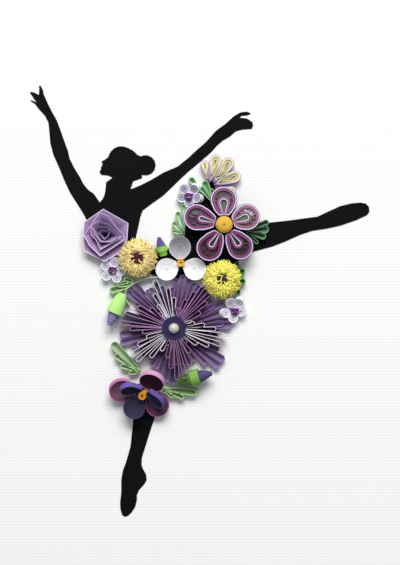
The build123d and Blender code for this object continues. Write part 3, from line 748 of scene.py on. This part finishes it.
# Buds
# A lime strip rolled into a cup, its last turn a looser band, lies on the card with a violet strip
# rolled to a point pushed into its mouth.
# Each bud's stem end and rim, the radii of its rim and its stem, its cup's length, where the looser
# band starts along it, how barrel-shaped it is, then the colours of its cup, band and point.
bud_table = [
    (
        (123.1, 293.7), (114.5, 313.5), 4.1, 1.7, 10.8, 0.97, 0.6,
        ("BAEA8E", "8CCC58"), "B8F284", "8F80B6",
    ),
    (
        (177.4, 382), (199.4, 376), 4.18, 1.7, 11.45, 0.62, 0.9,
        ("688F40", "446C26"), "7CB04E", "54477A",
    ),
    (
        (163.6, 255.6), (161.2, 246.3), 2.95, 2.04, 4.86, 0.5, 0.9,
        ("96E04C", "6AB83A"), "98DA5C", "6C5A9C",
    ),
]
for number, row in enumerate(bud_table, 1):
    stem_end_px, rim_px, rim, stem, length, band_start, barrel, limes, band_lime, violet = row
    angle = heading(stem_end_px, rim_px)[1]
    slope = math.degrees(math.atan2(rim * 0.12, length / 2))
    lie = levels(f"bud_cup_{number}")[0] + rim * 0.88
    where = Matrix.Translation(-length * toward(angle)) @ seat(rim_px, lie, angle, slope)
    lime_paper = paper(f"bud_lime_{number}", *limes)
    violet_paper = paper(f"bud_violet_{number}", violet)
    cup = []
    for k in range(25):
        share = k / 24
        radius = stem + (rim - stem) * math.sin(math.pi / 2 * share) ** barrel
        lip = 0.0 if share < band_start and number > 1 else 0.28
        # Every fourth station is painted darker, as the shade between the turns.
        cup.append((length * share, radius + lip - 0.28, 0.15 if k % 4 == 3 else 0.0))
    # Inside the mouth the cup is painted darker, as shade.
    cup += [(length, rim - 0.35), (0.6 * length, rim - 0.9, 0.8)]
    tip = 6.3 * rim / 4.1
    body = rim * 0.8
    point = [(0.66 * length, body)]
    for k in range(5):
        share = k / 5
        radius = body * (1 - share**1.4 * 0.76)
        start_at = length * 0.9 + (length * 0.1 + tip) * share
        end_at = start_at + (length * 0.1 + tip) * 0.17
        # Each step ends in a groove painted dark, as shade.
        point += [(start_at, radius), (end_at, radius * 0.93), (end_at + 0.05, radius * 0.82, 1.5)]
    point.append((end_at + 0.4, radius * 0.4))
    parts = [revolved(cup, lime_paper, 48)]
    if number > 1:
        band = paper(f"bud_band_{number}", band_lime)
        first = band_start * length
        ends = [(first, rim * 0.93), (first, rim * 0.97), (length, rim + 0.02), (length, rim - 0.3)]
        parts.append(revolved(ends, band, 48))
    assemble(f"bud_{number}_cup", parts, where, "lime_paper", f"bud_cup_{number}")
    assemble(
        f"bud_{number}_point", [revolved(point, violet_paper)], where, "violet_paper",
        f"bud_point_{number}",
    )

# White trefoil
# Three tight white drops, raised at their outer ends, their middles pressed down into bowls, round
# an orange coil. Their turns show as fine grey lines, painted as shade in the grooves and on every
# second turn.
trefoil_px = (180.9, 262.8)
# Each petal's direction, how far its outer end is raised, how deep its bowl is, where its heart
# lies along it and the colour of its turns, the first one's painted grey as shade, as its bowl
# faces away from the light.
trefoil_petals = [
    (94, 5.6, 1.7, 0.53, "D8D8E0"), (205, 1.0, 1.2, 0.5, "FEFFFF"),
    (-24, 0.8, 1.1, 0.44, "FEFFFF"),
]
trefoil_reach = 13.3
trefoil_round = 5.4
trefoil_near = 2.1
trefoil_wall = paper("trefoil_wall", "FCFCFF", "C8C8D8", spots=0.03)


def rolled_drop(near, reach, near_half, half, top_at, papers, pitch=0.42, heart=0.55, **more):
    """A strip rolled tight to a drop: its turns nest towards a short slit at its heart."""
    slit = near + (reach - near) * heart

    def outline_at(share):
        start_at = near + (slit - 0.7 - near) * share
        end_at = reach - (reach - slit - 0.7) * share
        return drop(start_at, end_at, near_half * (1 - share) + 0.02, half * (1 - share) + 0.14)

    return wound(outline_at, int(half / pitch), top_at, papers, **more)


for number, (angle, climb, bowl, heart, code) in enumerate(trefoil_petals, 1):
    low, tall = levels(f"white_trefoil_petal_{number}")

    def top_at(x, y, share):
        rise = climb * (x - trefoil_near) / (trefoil_reach - trefoil_near)
        dish = bowl * math.sin(math.pi / 2 * min(1.0, share * 1.2)) ** 1.2
        return tall - min(climb, 3.0) + rise - dish

    turns = paper(f"trefoil_turns_{number}", code, "9C9AA8", spots=0.02)
    # The first petal's every second turn is painted darker still, as shade.
    parts = rolled_drop(
        trefoil_near - 0.2, trefoil_reach, 1.8, trefoil_round, top_at,
        [(1, trefoil_wall), (40, turns)], 0.48, heart, tone=0.08 if number > 1 else 0.5,
    )
    assemble(
        f"white_trefoil_bowl_{number}", parts, seat(trefoil_px, low, angle), "white_paper",
        f"white_trefoil_petal_{number}",
    )
orange_paper = paper("orange_paper", "FFC84A", "9A5C0C", spots=0.1)
low, tall = levels("white_trefoil_centre")
assemble(
    "white_trefoil_coil", tight_coil(1.9, tall, [(9, orange_paper)], -0.25, 0.5, 0.36, 0.9),
    seat(trefoil_px, low), "orange_paper", "white_trefoil_centre",
)

# Small white flowers
# Five tight white coils in a ring, leaning in towards a faceted violet stone glued on their rims.
# Each flower's place, the grey painted on its coils' faces as shade and which facet of its stone is
# painted white as a glint, then each coil's direction, how far its foot is from the stone in
# millimetres and how far it leans.
small_flowers = [
    (
        (112.8, 270.2), "D2D0D8", 12,
        [(-5, 4.5, 8), (76, 4.6, 10), (147, 4.4, 4), (222, 4.3, 4), (298, 4.4, 4)],
    ),
    (
        (188.6, 196.5), "B2AEC2", 20,
        [(-12, 6.1, 34), (52, 6.1, 30), (121, 4.5, 6), (189, 3.6, 4), (-85, 3.4, 4)],
    ),
    (
        (234.9, 311.2), "E0DEE6", 24,
        [(119, 6.4, 32), (66, 6.2, 30), (190, 6.4, 34), (-4, 3.2, 4), (254.5, 3.6, 4)],
    ),
]
coil_radius = 2.45
small_wall = paper("small_flower_wall", "F6F6FC", "B8B8CC", spots=0.05)


def stone(name, colour, glow, rough):
    """A facet of a foil-backed plastic stone."""

    def tone(start, cloud, fine):
        return start.mixed(cloud, linear(colour), linear(glow))

    return surface(
        name, (1.2, 1.2), tone, (rough, 0.08), Metallic=0.7, Coat_Weight=0.8, Coat_Roughness=0.04
    )


# The crown's facets are painted as reflection: dark, every third one pink, and one white as a
# glint.
stone_rim = stone("stone_rim", "7E3AA0", "9A52BC", 0.25)
stone_dark = stone("stone_dark", "2C1430", "4A2048", 0.18)
stone_painted_reflection = stone("stone_painted_reflection", "D9A8D0", "9A5A96", 0.18)
stone_painted_highlight = stone("stone_painted_highlight", "FFFFFF", "E8D8F4", 0.3)
for number, (place_px, coil_shade_code, painted_glint, coils) in enumerate(small_flowers, 1):
    low, tall = levels(f"small_white_flower_{number}")
    # The coils' faces are painted grey as shade; their walls stay white.
    small_face = paper(f"small_flower_face_{number}", coil_shade_code, "5C5A70", spots=0.1)
    papers = [(1, small_wall), (9, small_face)]
    parts = []
    for angle, out, lean in coils:
        place = rotation(angle) @ Matrix.Translation((out, 0, 0))
        edge = Matrix.Translation((coil_radius, 0, 0))
        lean = rotation(-lean, "Y")
        spin = Matrix.Rotation(chance.uniform(0, 3), 4, "Z")
        for mesh in tight_coil(
            coil_radius, tall * 0.95, papers, -0.2, 0.38, 0.5, 0.45, groove=0.07,
            tone=0.14, pit=0.9,
        ):
            mesh.transform(place @ edge.inverted() @ lean @ edge @ spin)
            parts.append(mesh)
    assemble(
        f"small_flower_coils_{number}", parts, seat(place_px, low), "white_paper",
        f"small_white_flower_{number}",
    )
    low, gem = levels(f"small_flower_gem_{number}")
    girdle = revolved([(0, 2.2), (gem * 0.45, 2.2), (gem * 0.6, 1.75)], stone_rim, 16)
    crown = revolved([(gem * 0.6, 1.75), (gem, 0.95), (gem, 0)], stone_dark, 8)
    crown.materials.append(stone_painted_reflection)
    crown.materials.append(stone_painted_highlight)
    for face in crown.polygons:
        face.material_index = 2 if face.index == painted_glint else int(face.index % 3 == 1)
    assemble(
        f"small_flower_stone_{number}", [girdle, crown], seat(place_px, low) @ upright,
        "gem_plastic", f"small_flower_gem_{number}",
    )

# Folded rose
# One lilac strip folded and wound round itself. Each turn flares out from a tight foot, so the
# turns are nested bowls with straight sides and sharp corners, a highlight painted on their folded
# rims.
rose_px = (105.4, 235.4)
rose_turns_px = [
    [
        (103.6, 209), (128.7, 223.4), (126.9, 248.5), (105.2, 262.1), (84.3, 251.1),
        (83.2, 235.4), (84.3, 222.3),
    ],
    [
        (100, 212.9), (108.3, 215.8), (124.5, 235.9), (125.3, 240.1), (101, 256.6),
        (89.8, 245.8), (84.3, 235.4), (90.8, 226.5),
    ],
    [
        (99.2, 221.1), (108.9, 224.2), (121.4, 236.4), (120.8, 238.8), (101, 250.5),
        (96.8, 240.6), (91.6, 234.9), (91.8, 226),
    ],
    [
        (98.9, 226.8), (108.3, 227.2), (119.8, 237.2), (111.5, 242.6), (101.5, 242.4),
        (95.3, 234.9), (93.7, 228.6),
    ],
    [(101.8, 230.2), (111.2, 230.7), (109.5, 236.5), (105.2, 240.3), (99.2, 233.2)],
]
rose_rim_heights = [4.0, 6.2, 7.2, 7.8, 7.6]
# From the foot over the rim and down outside: the share of the way out and of the rim's height,
# the painted highlight and the depth of painted shade.
rose_sections = [
    (0.3, 0.35, 0.0, 0.9), (0.6, 0.62, 0.0, 0.3), (0.8, 0.85, 0.0, 0.0), (0.955, 0.97, 0.0, 0.0),
    (0.97, 0.985, 1.0, 0.0), (1.0, 1.0, 1.0, 0.0), (1.0, 0.96, 0.6, 0.0), (0.93, 0.88, 0.0, 0.9),
    (0.86, 0.5, 0.0, 1.0),
]


def rose_tone(start, mottle, fibre):
    """Lilac, with a painted highlight on the rims its mesh marks and painted shade in its depths.
    """
    face = start.mixed(mottle * 0.8 + fibre * 0.2, linear("AE93C0"), linear("8A6C9C"))
    painted_rim_highlight = start.mixed(marked(start, "rim"), face, linear("E6D2F0"))
    return start.mixed(marked(start, "painted_shade_and_tone"), painted_rim_highlight, linear("3E2648"))


rose_lilac = surface(
    "rose_lilac", (3.0, 0.25), rose_tone, (0.6, 0.2), (0.4, 0.03), Specular_IOR_Level=0.35
)
rose_shape = bmesh.new()
highlight_layer = rose_shape.verts.layers.float.new("rim")
shade_layer = rose_shape.verts.layers.float.new("painted_shade_and_tone")
centre = Vector((*spot(rose_px), 0))
for corners_px, rim_height in zip(rose_turns_px, rose_rim_heights):
    corners = [Vector((*spot(corner), 0)) - centre for corner in corners_px]
    rows = []
    for out_share, up_share, painted_highlight, dark in rose_sections:
        row = []
        for place in corners:
            vertex = rose_shape.verts.new(
                (place.x * out_share, place.y * out_share, rim_height * up_share)
            )
            vertex[highlight_layer] = painted_highlight
            vertex[shade_layer] = dark
            row.append(vertex)
        rows.append(row)
    skinned(rose_shape, rows)
bmesh.ops.recalc_face_normals(rose_shape, faces=rose_shape.faces)
rose_mesh = meshed(rose_shape, "rose", rose_lilac)
low = levels("folded_rose")[0]
assemble("folded_rose_strip", [rose_mesh], seat(rose_px, low), "lilac_paper", "folded_rose")

# Fringed flowers
# A strip cut into a fine fringe along one side and rolled up. The fringe is spread outwards in
# all directions from the roll, its tips curled, and a dark tight coil closes its heart.
# Each flower's colour, place, the radius of its heart's opening, the papers of its fringe and its
# heart, then the fingers fallen over the heart: from which direction, and where each ends.
fringed_flowers = [
    (
        "cream", (138, 258), 3.2, ("FFEEA2", "A0742A"), ("6A2440", "2A0C18"),
        [(52, 0.3, 0.6), (318, 0.2, -0.25), (172, -0.55, 0.15), (232, -0.4, -0.3)],
    ),
    (
        "yellow", (222, 279), 2.8, ("FFFA78", "B08408"), ("4A3C48", "1C161E"),
        [
            (140, 0.15, 0.5), (205, -0.1, 0.3), (262, -0.05, -0.35), (300, 0.3, -0.45),
            (15, 0.65, 0.3),
        ],
    ),
]


def fringe_tree():
    """Nodes that grow the bent fingers of a rolled fringe, the outer ones lying, inner standing."""
    sockets = {
        "Geometry": "Geometry", "Count": "Int", "Reach": "Float", "Root Radius": "Float",
        "Finger Width": "Float", "Seed": "Int", "Paper": "Material",
    }
    tree, wires = open_tree("rolled_fringe", sockets)
    count, reach, root, width, seed, fringe_paper = wires[1:]
    start = Wire(tree)
    index = start.node("GeometryNodeInputIndex", {})
    share = start.maths("DIVIDE", index, count)

    def chance_of(low, high, salt):
        """A random number for each finger."""
        values = {2: low, 3: high, "Seed": seed + salt}
        return start.node("FunctionNodeRandomValue", values, 1, data_type="FLOAT")

    def marking(geometry, name, value, domain="POINT"):
        """Geometry that carries a number under a name."""
        values = {"Geometry": geometry, "Name": name, "Value": value}
        return start.node(
            "GeometryNodeStoreNamedAttribute", values, data_type="FLOAT", domain=domain
        )

    around = index * math.radians(137.508) + chance_of(-0.05, 0.05, 1)
    lean = share * share * 0.25 + share * 0.9 + chance_of(-0.16, 0.16, 2)
    radius = root * (1.12 - share * 0.12)
    foot_x = radius * start.maths("COSINE", around)
    foot_y = radius * start.maths("SINE", around)
    foot = start.node("ShaderNodeCombineXYZ", {0: foot_x, 1: foot_y, 2: share * 0.4})
    points = start.node("GeometryNodePoints", {"Count": count, "Position": foot})
    blade = start.node(
        "GeometryNodeCurvePrimitiveBezierSegment",
        {
            "Resolution": 5, "Start": (0, 0, 0), "Start Handle": (0.45, 0, 0.22),
            "End Handle": (1.05, 0, 0.26), "End": (0.98, 0, -0.03),
        },
        mode="POSITION",
    )
    along = start.node("GeometryNodeSplineParameter", {})
    blade = marking(blade, "root", 1 - along)
    section = start.node(
        "GeometryNodeCurvePrimitiveQuadrilateral", {"Width": width, "Height": 0.025}
    )
    finger = start.node(
        "GeometryNodeCurveToMesh", {"Curve": blade, "Profile Curve": section, "Fill Caps": True}
    )
    length = reach * (1 - share * 0.45) * chance_of(0.86, 1.04, 3)
    turn = start.node(
        "ShaderNodeCombineXYZ", {0: chance_of(-0.7, 0.7, 4), 1: lean * -1.0, 2: around}
    )
    scale = start.node("ShaderNodeCombineXYZ", {0: length, 1: reach, 2: reach})
    spread = start.node(
        "GeometryNodeInstanceOnPoints",
        {"Points": points, "Instance": finger, "Rotation": turn, "Scale": scale},
    )
    toned = marking(spread, "tone", chance_of(-0.5, 0.5, 5), "INSTANCE")
    real = start.node("GeometryNodeRealizeInstances", {"Geometry": toned})
    rooted, tone = [
        start.node("GeometryNodeInputNamedAttribute", {"Name": name}, data_type="FLOAT")
        for name in ("root", "tone")
    ]
    # The fingers are painted darker towards their roots as shade, each also with a random tone.
    shaded = marking(real, "painted_shade_and_tone", rooted * rooted * 0.9 + tone)
    flat = start.node("GeometryNodeSetShadeSmooth", {"Geometry": shaded, "Shade Smooth": False})
    done = start.node("GeometryNodeSetMaterial", {"Geometry": flat, "Material": fringe_paper})
    tree.links.new(done.socket, tree.nodes.new("NodeGroupOutput").inputs[0])
    return tree


finger_count = 900
finger_width = 0.058
heart_depth = 3.2
rolled_fringe = fringe_tree()
reach = half_width("yellow_fringed_flower")
for colour, place_px, opening, fringe_codes, heart_codes, fallen in fringed_flowers:
    node = f"{colour}_fringed_flower"
    low = levels(node)[0]
    heart_low, heart_tall = levels(f"{colour}_flower_heart")
    fringe_paper = paper(f"{colour}_fringe", *fringe_codes, spots=0.05)
    fringe = grown(
        bpy.data.meshes.new("nothing"), rolled_fringe,
        {
            "Count": finger_count, "Reach": reach - opening, "Root Radius": opening * 0.95,
            "Finger Width": finger_width, "Seed": len(colour), "Paper": fringe_paper,
        },
    )
    fringe.transform(Matrix.Translation((0, 0, heart_low - low - heart_depth)))
    core = revolved([(0, opening * 0.8), (heart_low - low, opening * 0.95)], fringe_paper, 24)
    core.transform(upright)
    strands = []
    for swing, end_x, end_y in fallen:
        start_at = Vector(turned([(opening * 1.05, 0)], swing)[0])
        end_at = Vector((end_x, end_y)) * opening
        bend = (end_at - start_at).orthogonal() * chance.uniform(-0.3, 0.3)
        finger = [
            start_at.lerp(end_at, t) + bend * math.sin(math.pi * t) for t in (0, 0.3, 0.6, 1)
        ]
        strands.append((finger, heart_low - low + 1.6, False))
    crossing = strips(strands, 0.5, fringe_paper, fringe_paper, 0.5)
    parts = [fringe, core, crossing]
    assemble(f"{colour}_fringe", parts, seat(place_px, low), f"{colour}_paper", node)
    papers = [(20, paper(f"{colour}_heart", *heart_codes))]
    assemble(
        f"{colour}_heart",
        tight_coil(opening * 0.9, heart_tall * 0.4, papers, 0.3, 0.4, 0.45),
        seat(place_px, heart_low), "maroon_paper", f"{colour}_flower_heart",
    )

# Purple flower
# Five drops, each wound of a plum band with a white and a navy strip round it, the navy one painted
# as the shade along the white one, and a white-edged loop wrapped in plum inside, joined by loose
# plum curls over a sheet painted as the shade beneath them. A domed orange coil stands on a peg.
purple_px = (223.9, 225.2)
purple_round = 6.6
purple_near = 4.4
purple_near_half = 2.8
hole_reach = 12.4
purple_droop = -3.5
turn_pitch = 0.28
curl_count = 17
plum_wall = paper("petal_plum_face", "86407A", "46183F")
# Each petal's direction, its reach, the half width of its inner loop, its plum edges, painted paler
# on the upper petals as light from above, then the painted shade that shows through between its
# curls.
purple_petals = [
    (91, 18.8, 1.75, "B27AA8", "5C665C"), (18.6, 18.3, 1.5, "B8849E", "66705E"),
    (-53.4, 19.8, 1.15, "925886", "343A30"), (237.6, 20.0, 1.15, "884672", "3E3A36"),
    (164.6, 20.4, 1.0, "8E5480", "6A686A"),
]
petal_white = paper("petal_white_strip", "F4F2FA", "D8D4EA")
# The navy strip stands for the shade along the outside of the white one.
petal_navy_shade = paper("petal_navy_strip", "4A4484", "26204E")
for number, petal in enumerate(purple_petals, 1):
    angle, purple_reach, hole_round, plum_and_painted_light, floor_shade_code = petal
    low, strip = levels(f"purple_flower_petal_{number}")
    # The upper petals' plum edges are painted paler, as light from above.
    plum_edge = paper(f"petal_plum_edge_{number}", plum_and_painted_light, "6A285A", spots=0.2)
    # A sheet under the curls is painted dark, as the shade seen between them.
    painted_shade_floor = paper(f"petal_under_{number}", "FFFFFF", floor_shade_code, spots=0.1)
    lining = drop(purple_near, purple_reach - 0.6, 2.2, purple_round - 0.6)
    floor = [
        [(11 + (x - 11) * share, y * share, 2.9) for x, y in lining] for share in (1.0, 0.45, 0.0)
    ]
    # On the second petal's upper side the sheet is painted white, as light that falls past
    # the edge of the black paper.
    painted_dimming = [0.0 if number == 2 and x > 9 and y > -1 else 1.0 for x, y in lining]

    def outer_turn(inset):
        return drop(
            purple_near + inset * 0.6, purple_reach - inset, max(purple_near_half - inset, 0.1),
            purple_round - inset, (0.5, 0.5), 24,
        )

    def inner_turn(outset):
        return drop(
            purple_near + 0.3, hole_reach + outset, 0.3 + outset * 0.4, hole_round + outset,
            steps=18,
        )

    def band(turn_at, first, count=1):
        """Turns of strip side by side, from the first one's inset or outset."""
        return [
            (
                turn_at(first + turn_pitch * k), strip - chance.uniform(0, 0.08), True, 0,
                chance.uniform(0, 0.7),
            )
            for k in range(count)
        ]

    # The curls spring from the inner loop to the band, and their ends hook round.
    curls = []
    for k in range(curl_count):
        hand = 1 if k >= 6 else -1
        swing = -140 + 280 * k / (curl_count - 1)
        start_at = Vector((hole_reach - hole_round, 0))
        start_at += toward(swing).xy * (hole_round + 1.4)
        swing += math.degrees(chance.uniform(0.0, 0.3)) * hand
        end_at = Vector((purple_reach - purple_round, 0))
        end_at += toward(swing).xy * (purple_round - 1.9)
        bent = 0.45 if abs(k - 8) > 3 else 0.25
        side = (end_at - start_at).orthogonal() * (bent + chance.uniform(-0.1, 0.1)) * hand
        curl = [
            start_at.lerp(end_at, i / 8) + side * math.sin(math.pi * i / 8) ** 1.2
            for i in range(9)
        ]
        hook = curl[-1] - curl[-2]
        for i in range(5):
            hook = Matrix.Rotation(0.75 * hand, 2) @ hook * 0.8
            curl.append(curl[-1] + hook)
        curls.append((curl, strip - 0.35, False, 0, chance.uniform(-0.2, 0.4)))
    assemble(
        f"purple_petal_{number}",
        [
            strips(band(outer_turn, 0.13), strip, petal_navy_shade, petal_navy_shade, 0.26),
            strips(band(outer_turn, 0.45), strip, petal_white, petal_white, 0.38),
            strips(band(outer_turn, 0.78, 5), strip * 0.96, plum_wall, plum_edge, 0.27),
            strips(band(inner_turn, 0.5, 4), strip * 0.96, plum_wall, plum_edge, 0.27),
            strips(band(inner_turn, 0.16), strip, petal_white, petal_white, 0.36),
            strips(curls, strip * 0.9, plum_wall, plum_edge, 0.12),
            sheeted(floor, [painted_dimming, painted_dimming, 1.0], painted_shade_floor),
        ],
        seat(purple_px, low, angle, purple_droop), "plum_paper", f"purple_flower_petal_{number}",
    )
dome_paper = paper("dome_paper", "FFD052", "8A4A06", spots=0.1)
low, tall = levels("purple_flower_centre")
dome = tight_coil(
    half_width("purple_flower_centre"), tall - 1.5, [(20, dome_paper)], 2.4, 0.4, 0.42, 0.8
)
assemble(
    "purple_flower_coil", dome, seat(purple_px, low), "orange_paper", "purple_flower_centre"
)

# Pansy
# Six rolls pressed into shallow bowls, one side of each raised: three with pink walls below, three
# violet ones on them. A rolled orange peg leans out of the middle.
pansy_bed = 0.75
# Root, direction, side that is raised, tilt, level, length, half width, then the wall's and the
# face's colour and the colour of the shade painted into the face's grooves and middle.
pansy_table = [
    ((150.4, 386.2), 69, 69, 44, 0, 11.8, 6.2, "DEA0CC", "4A2038", "24101C"),
    ((134.6, 390.4), 172, 115, 26, 0, 13.2, 5.9, "C47CB0", "94647F", "643E58"),
    ((149, 394.6), -49, 45, 8, 0, 12.4, 5.6, "9E5684", "68405A", "40243A"),
    ((141.2, 386), 178, 102, 55, 4.7, 10.8, 4.0, "6F5DB0", "2C2C48", "14141E"),
    ((150.6, 388.4), -48, 45, 55, 2.9, 10.6, 4.0, "5E5094", "34345C", "1A1A2E"),
    ((139.2, 395.8), 248, 248, 4, 3.1, 11.8, 5.3, "463A6C", "3A3654", "242238"),
]
for number, row in enumerate(pansy_table, 1):
    root_px, angle, raised, tilt, level, length, half, wall_code, face_code, shade_code = row
    pink = number < 4
    tall = 3.0 if pink else 2.7
    bowl = 1.3 if pink else 1.1
    rise = math.radians(tilt)
    off = math.radians(angle - raised)
    uphill = toward(raised)
    above = Vector((0, 0, 1))
    climbing = uphill * math.cos(rise) + above * math.sin(rise)
    across = above.cross(uphill)
    x_axis = (across * math.sin(off) + climbing * (math.cos(off) / math.cos(rise))).normalized()
    z_axis = above * math.cos(rise) - uphill * math.sin(rise)
    y_axis = z_axis.cross(x_axis)
    lowest = min(x * x_axis.z + y * y_axis.z for x, y in drop(0, length, 0.35 * half, half))
    where = Matrix.Translation((*spot(root_px), pansy_bed + level - lowest))
    where = where @ Matrix((x_axis, y_axis, z_axis)).transposed().to_4x4()

    def top_at(x, y, share):
        return tall - bowl * math.sin(math.pi / 2 * min(1.0, share * 1.3))

    # The walls are painted darker at the foot and in lines where the turns step, as shade.
    wall = paper(f"pansy_wall_{number}", wall_code, "6E3A62" if pink else "2C2450", spots=0.1)
    face = paper(f"pansy_face_{number}", face_code, shade_code)
    parts = rolled_drop(
        0, length, 0.35 * half, half, top_at, [(1, wall), (40, face)], 0.4, wall_lines=2,
        pit=1.0, tone=0.3,
    )
    slot = "pink_paper" if pink else "violet_paper"
    assemble(f"pansy_bowl_{number}", parts, where, slot, f"pansy_petal_{number}")
peg_foot_px = (146.2, 391.6)
peg_run, peg_angle = heading(peg_foot_px, (142.4, 395.2))
low, tall = levels("pansy_centre")
peg = math.hypot(peg_run, tall)
peg_rise = math.degrees(math.atan2(tall, peg_run))
steps = [
    (0.6, 1.35), (peg * 0.3, 1.5), (peg * 0.3, 1.62), (peg * 0.6, 1.72), (peg * 0.6, 1.84),
    (peg - 0.6, 1.95), (peg - 0.6, 1.5), (peg - 0.75, 1.45), (peg - 0.7, 0.75), (peg * 0.7, 0.6),
]
peg_paper = paper("peg_orange", "E09A22", "9A5E0C")
assemble(
    "pansy_peg", [revolved(steps, peg_paper, 32)], seat(peg_foot_px, low, peg_angle, peg_rise),
    "orange_paper", "pansy_centre",
)

# Table, light and camera
# The card lies on a pale table, in soft daylight that falls from the picture's upper side, and the
# camera looks straight down at it.
view_length = 2 * middle_px[1] * pixel * mm
camera_height = 0.7
half_table = 1.5


def table_tone(start, cloud, fine):
    """Pale grey."""
    return start.mixed(cloud, (0.8, 0.8, 0.81, 1), (0.74, 0.74, 0.755, 1))


bpy.ops.mesh.primitive_plane_add(size=2 * half_table, location=(0, 0, -0.02 * mm))
table = bpy.context.object
table.name = "table"
table.data.materials.append(surface("pale_table", (60.0, 60.0), table_tone, (0.8, 0.1)))

world = bpy.data.worlds.new("daylight")
bpy.context.scene.world = world
world.use_nodes = True
sky = world.node_tree.nodes["Background"]
sky.inputs["Color"].default_value = (0.93, 0.95, 1.0, 1)
sky.inputs["Strength"].default_value = 0.34

lamp = bpy.data.lights.new("window", "AREA")
lamp.shape = "RECTANGLE"
lamp.size = 1.76
lamp.size_y = 0.96
lamp.energy = 68.0
lamp.color = (1.0, 0.992, 0.98)
window = placed("window", lamp)
window.location = (0.1, 1.68, 1.6)
window.rotation_mode = "QUATERNION"
window.rotation_quaternion = (-window.location).to_track_quat("-Z", "Y")

camera = bpy.data.cameras.new("camera")
camera.sensor_width = 36
camera.lens = 36 * (camera_height - 2 * mm) / view_length
eye = placed("camera", camera)
eye.location = (0, 0, camera_height)
bpy.context.scene.camera = eye
bpy.context.scene.view_settings.view_transform = "Standard"
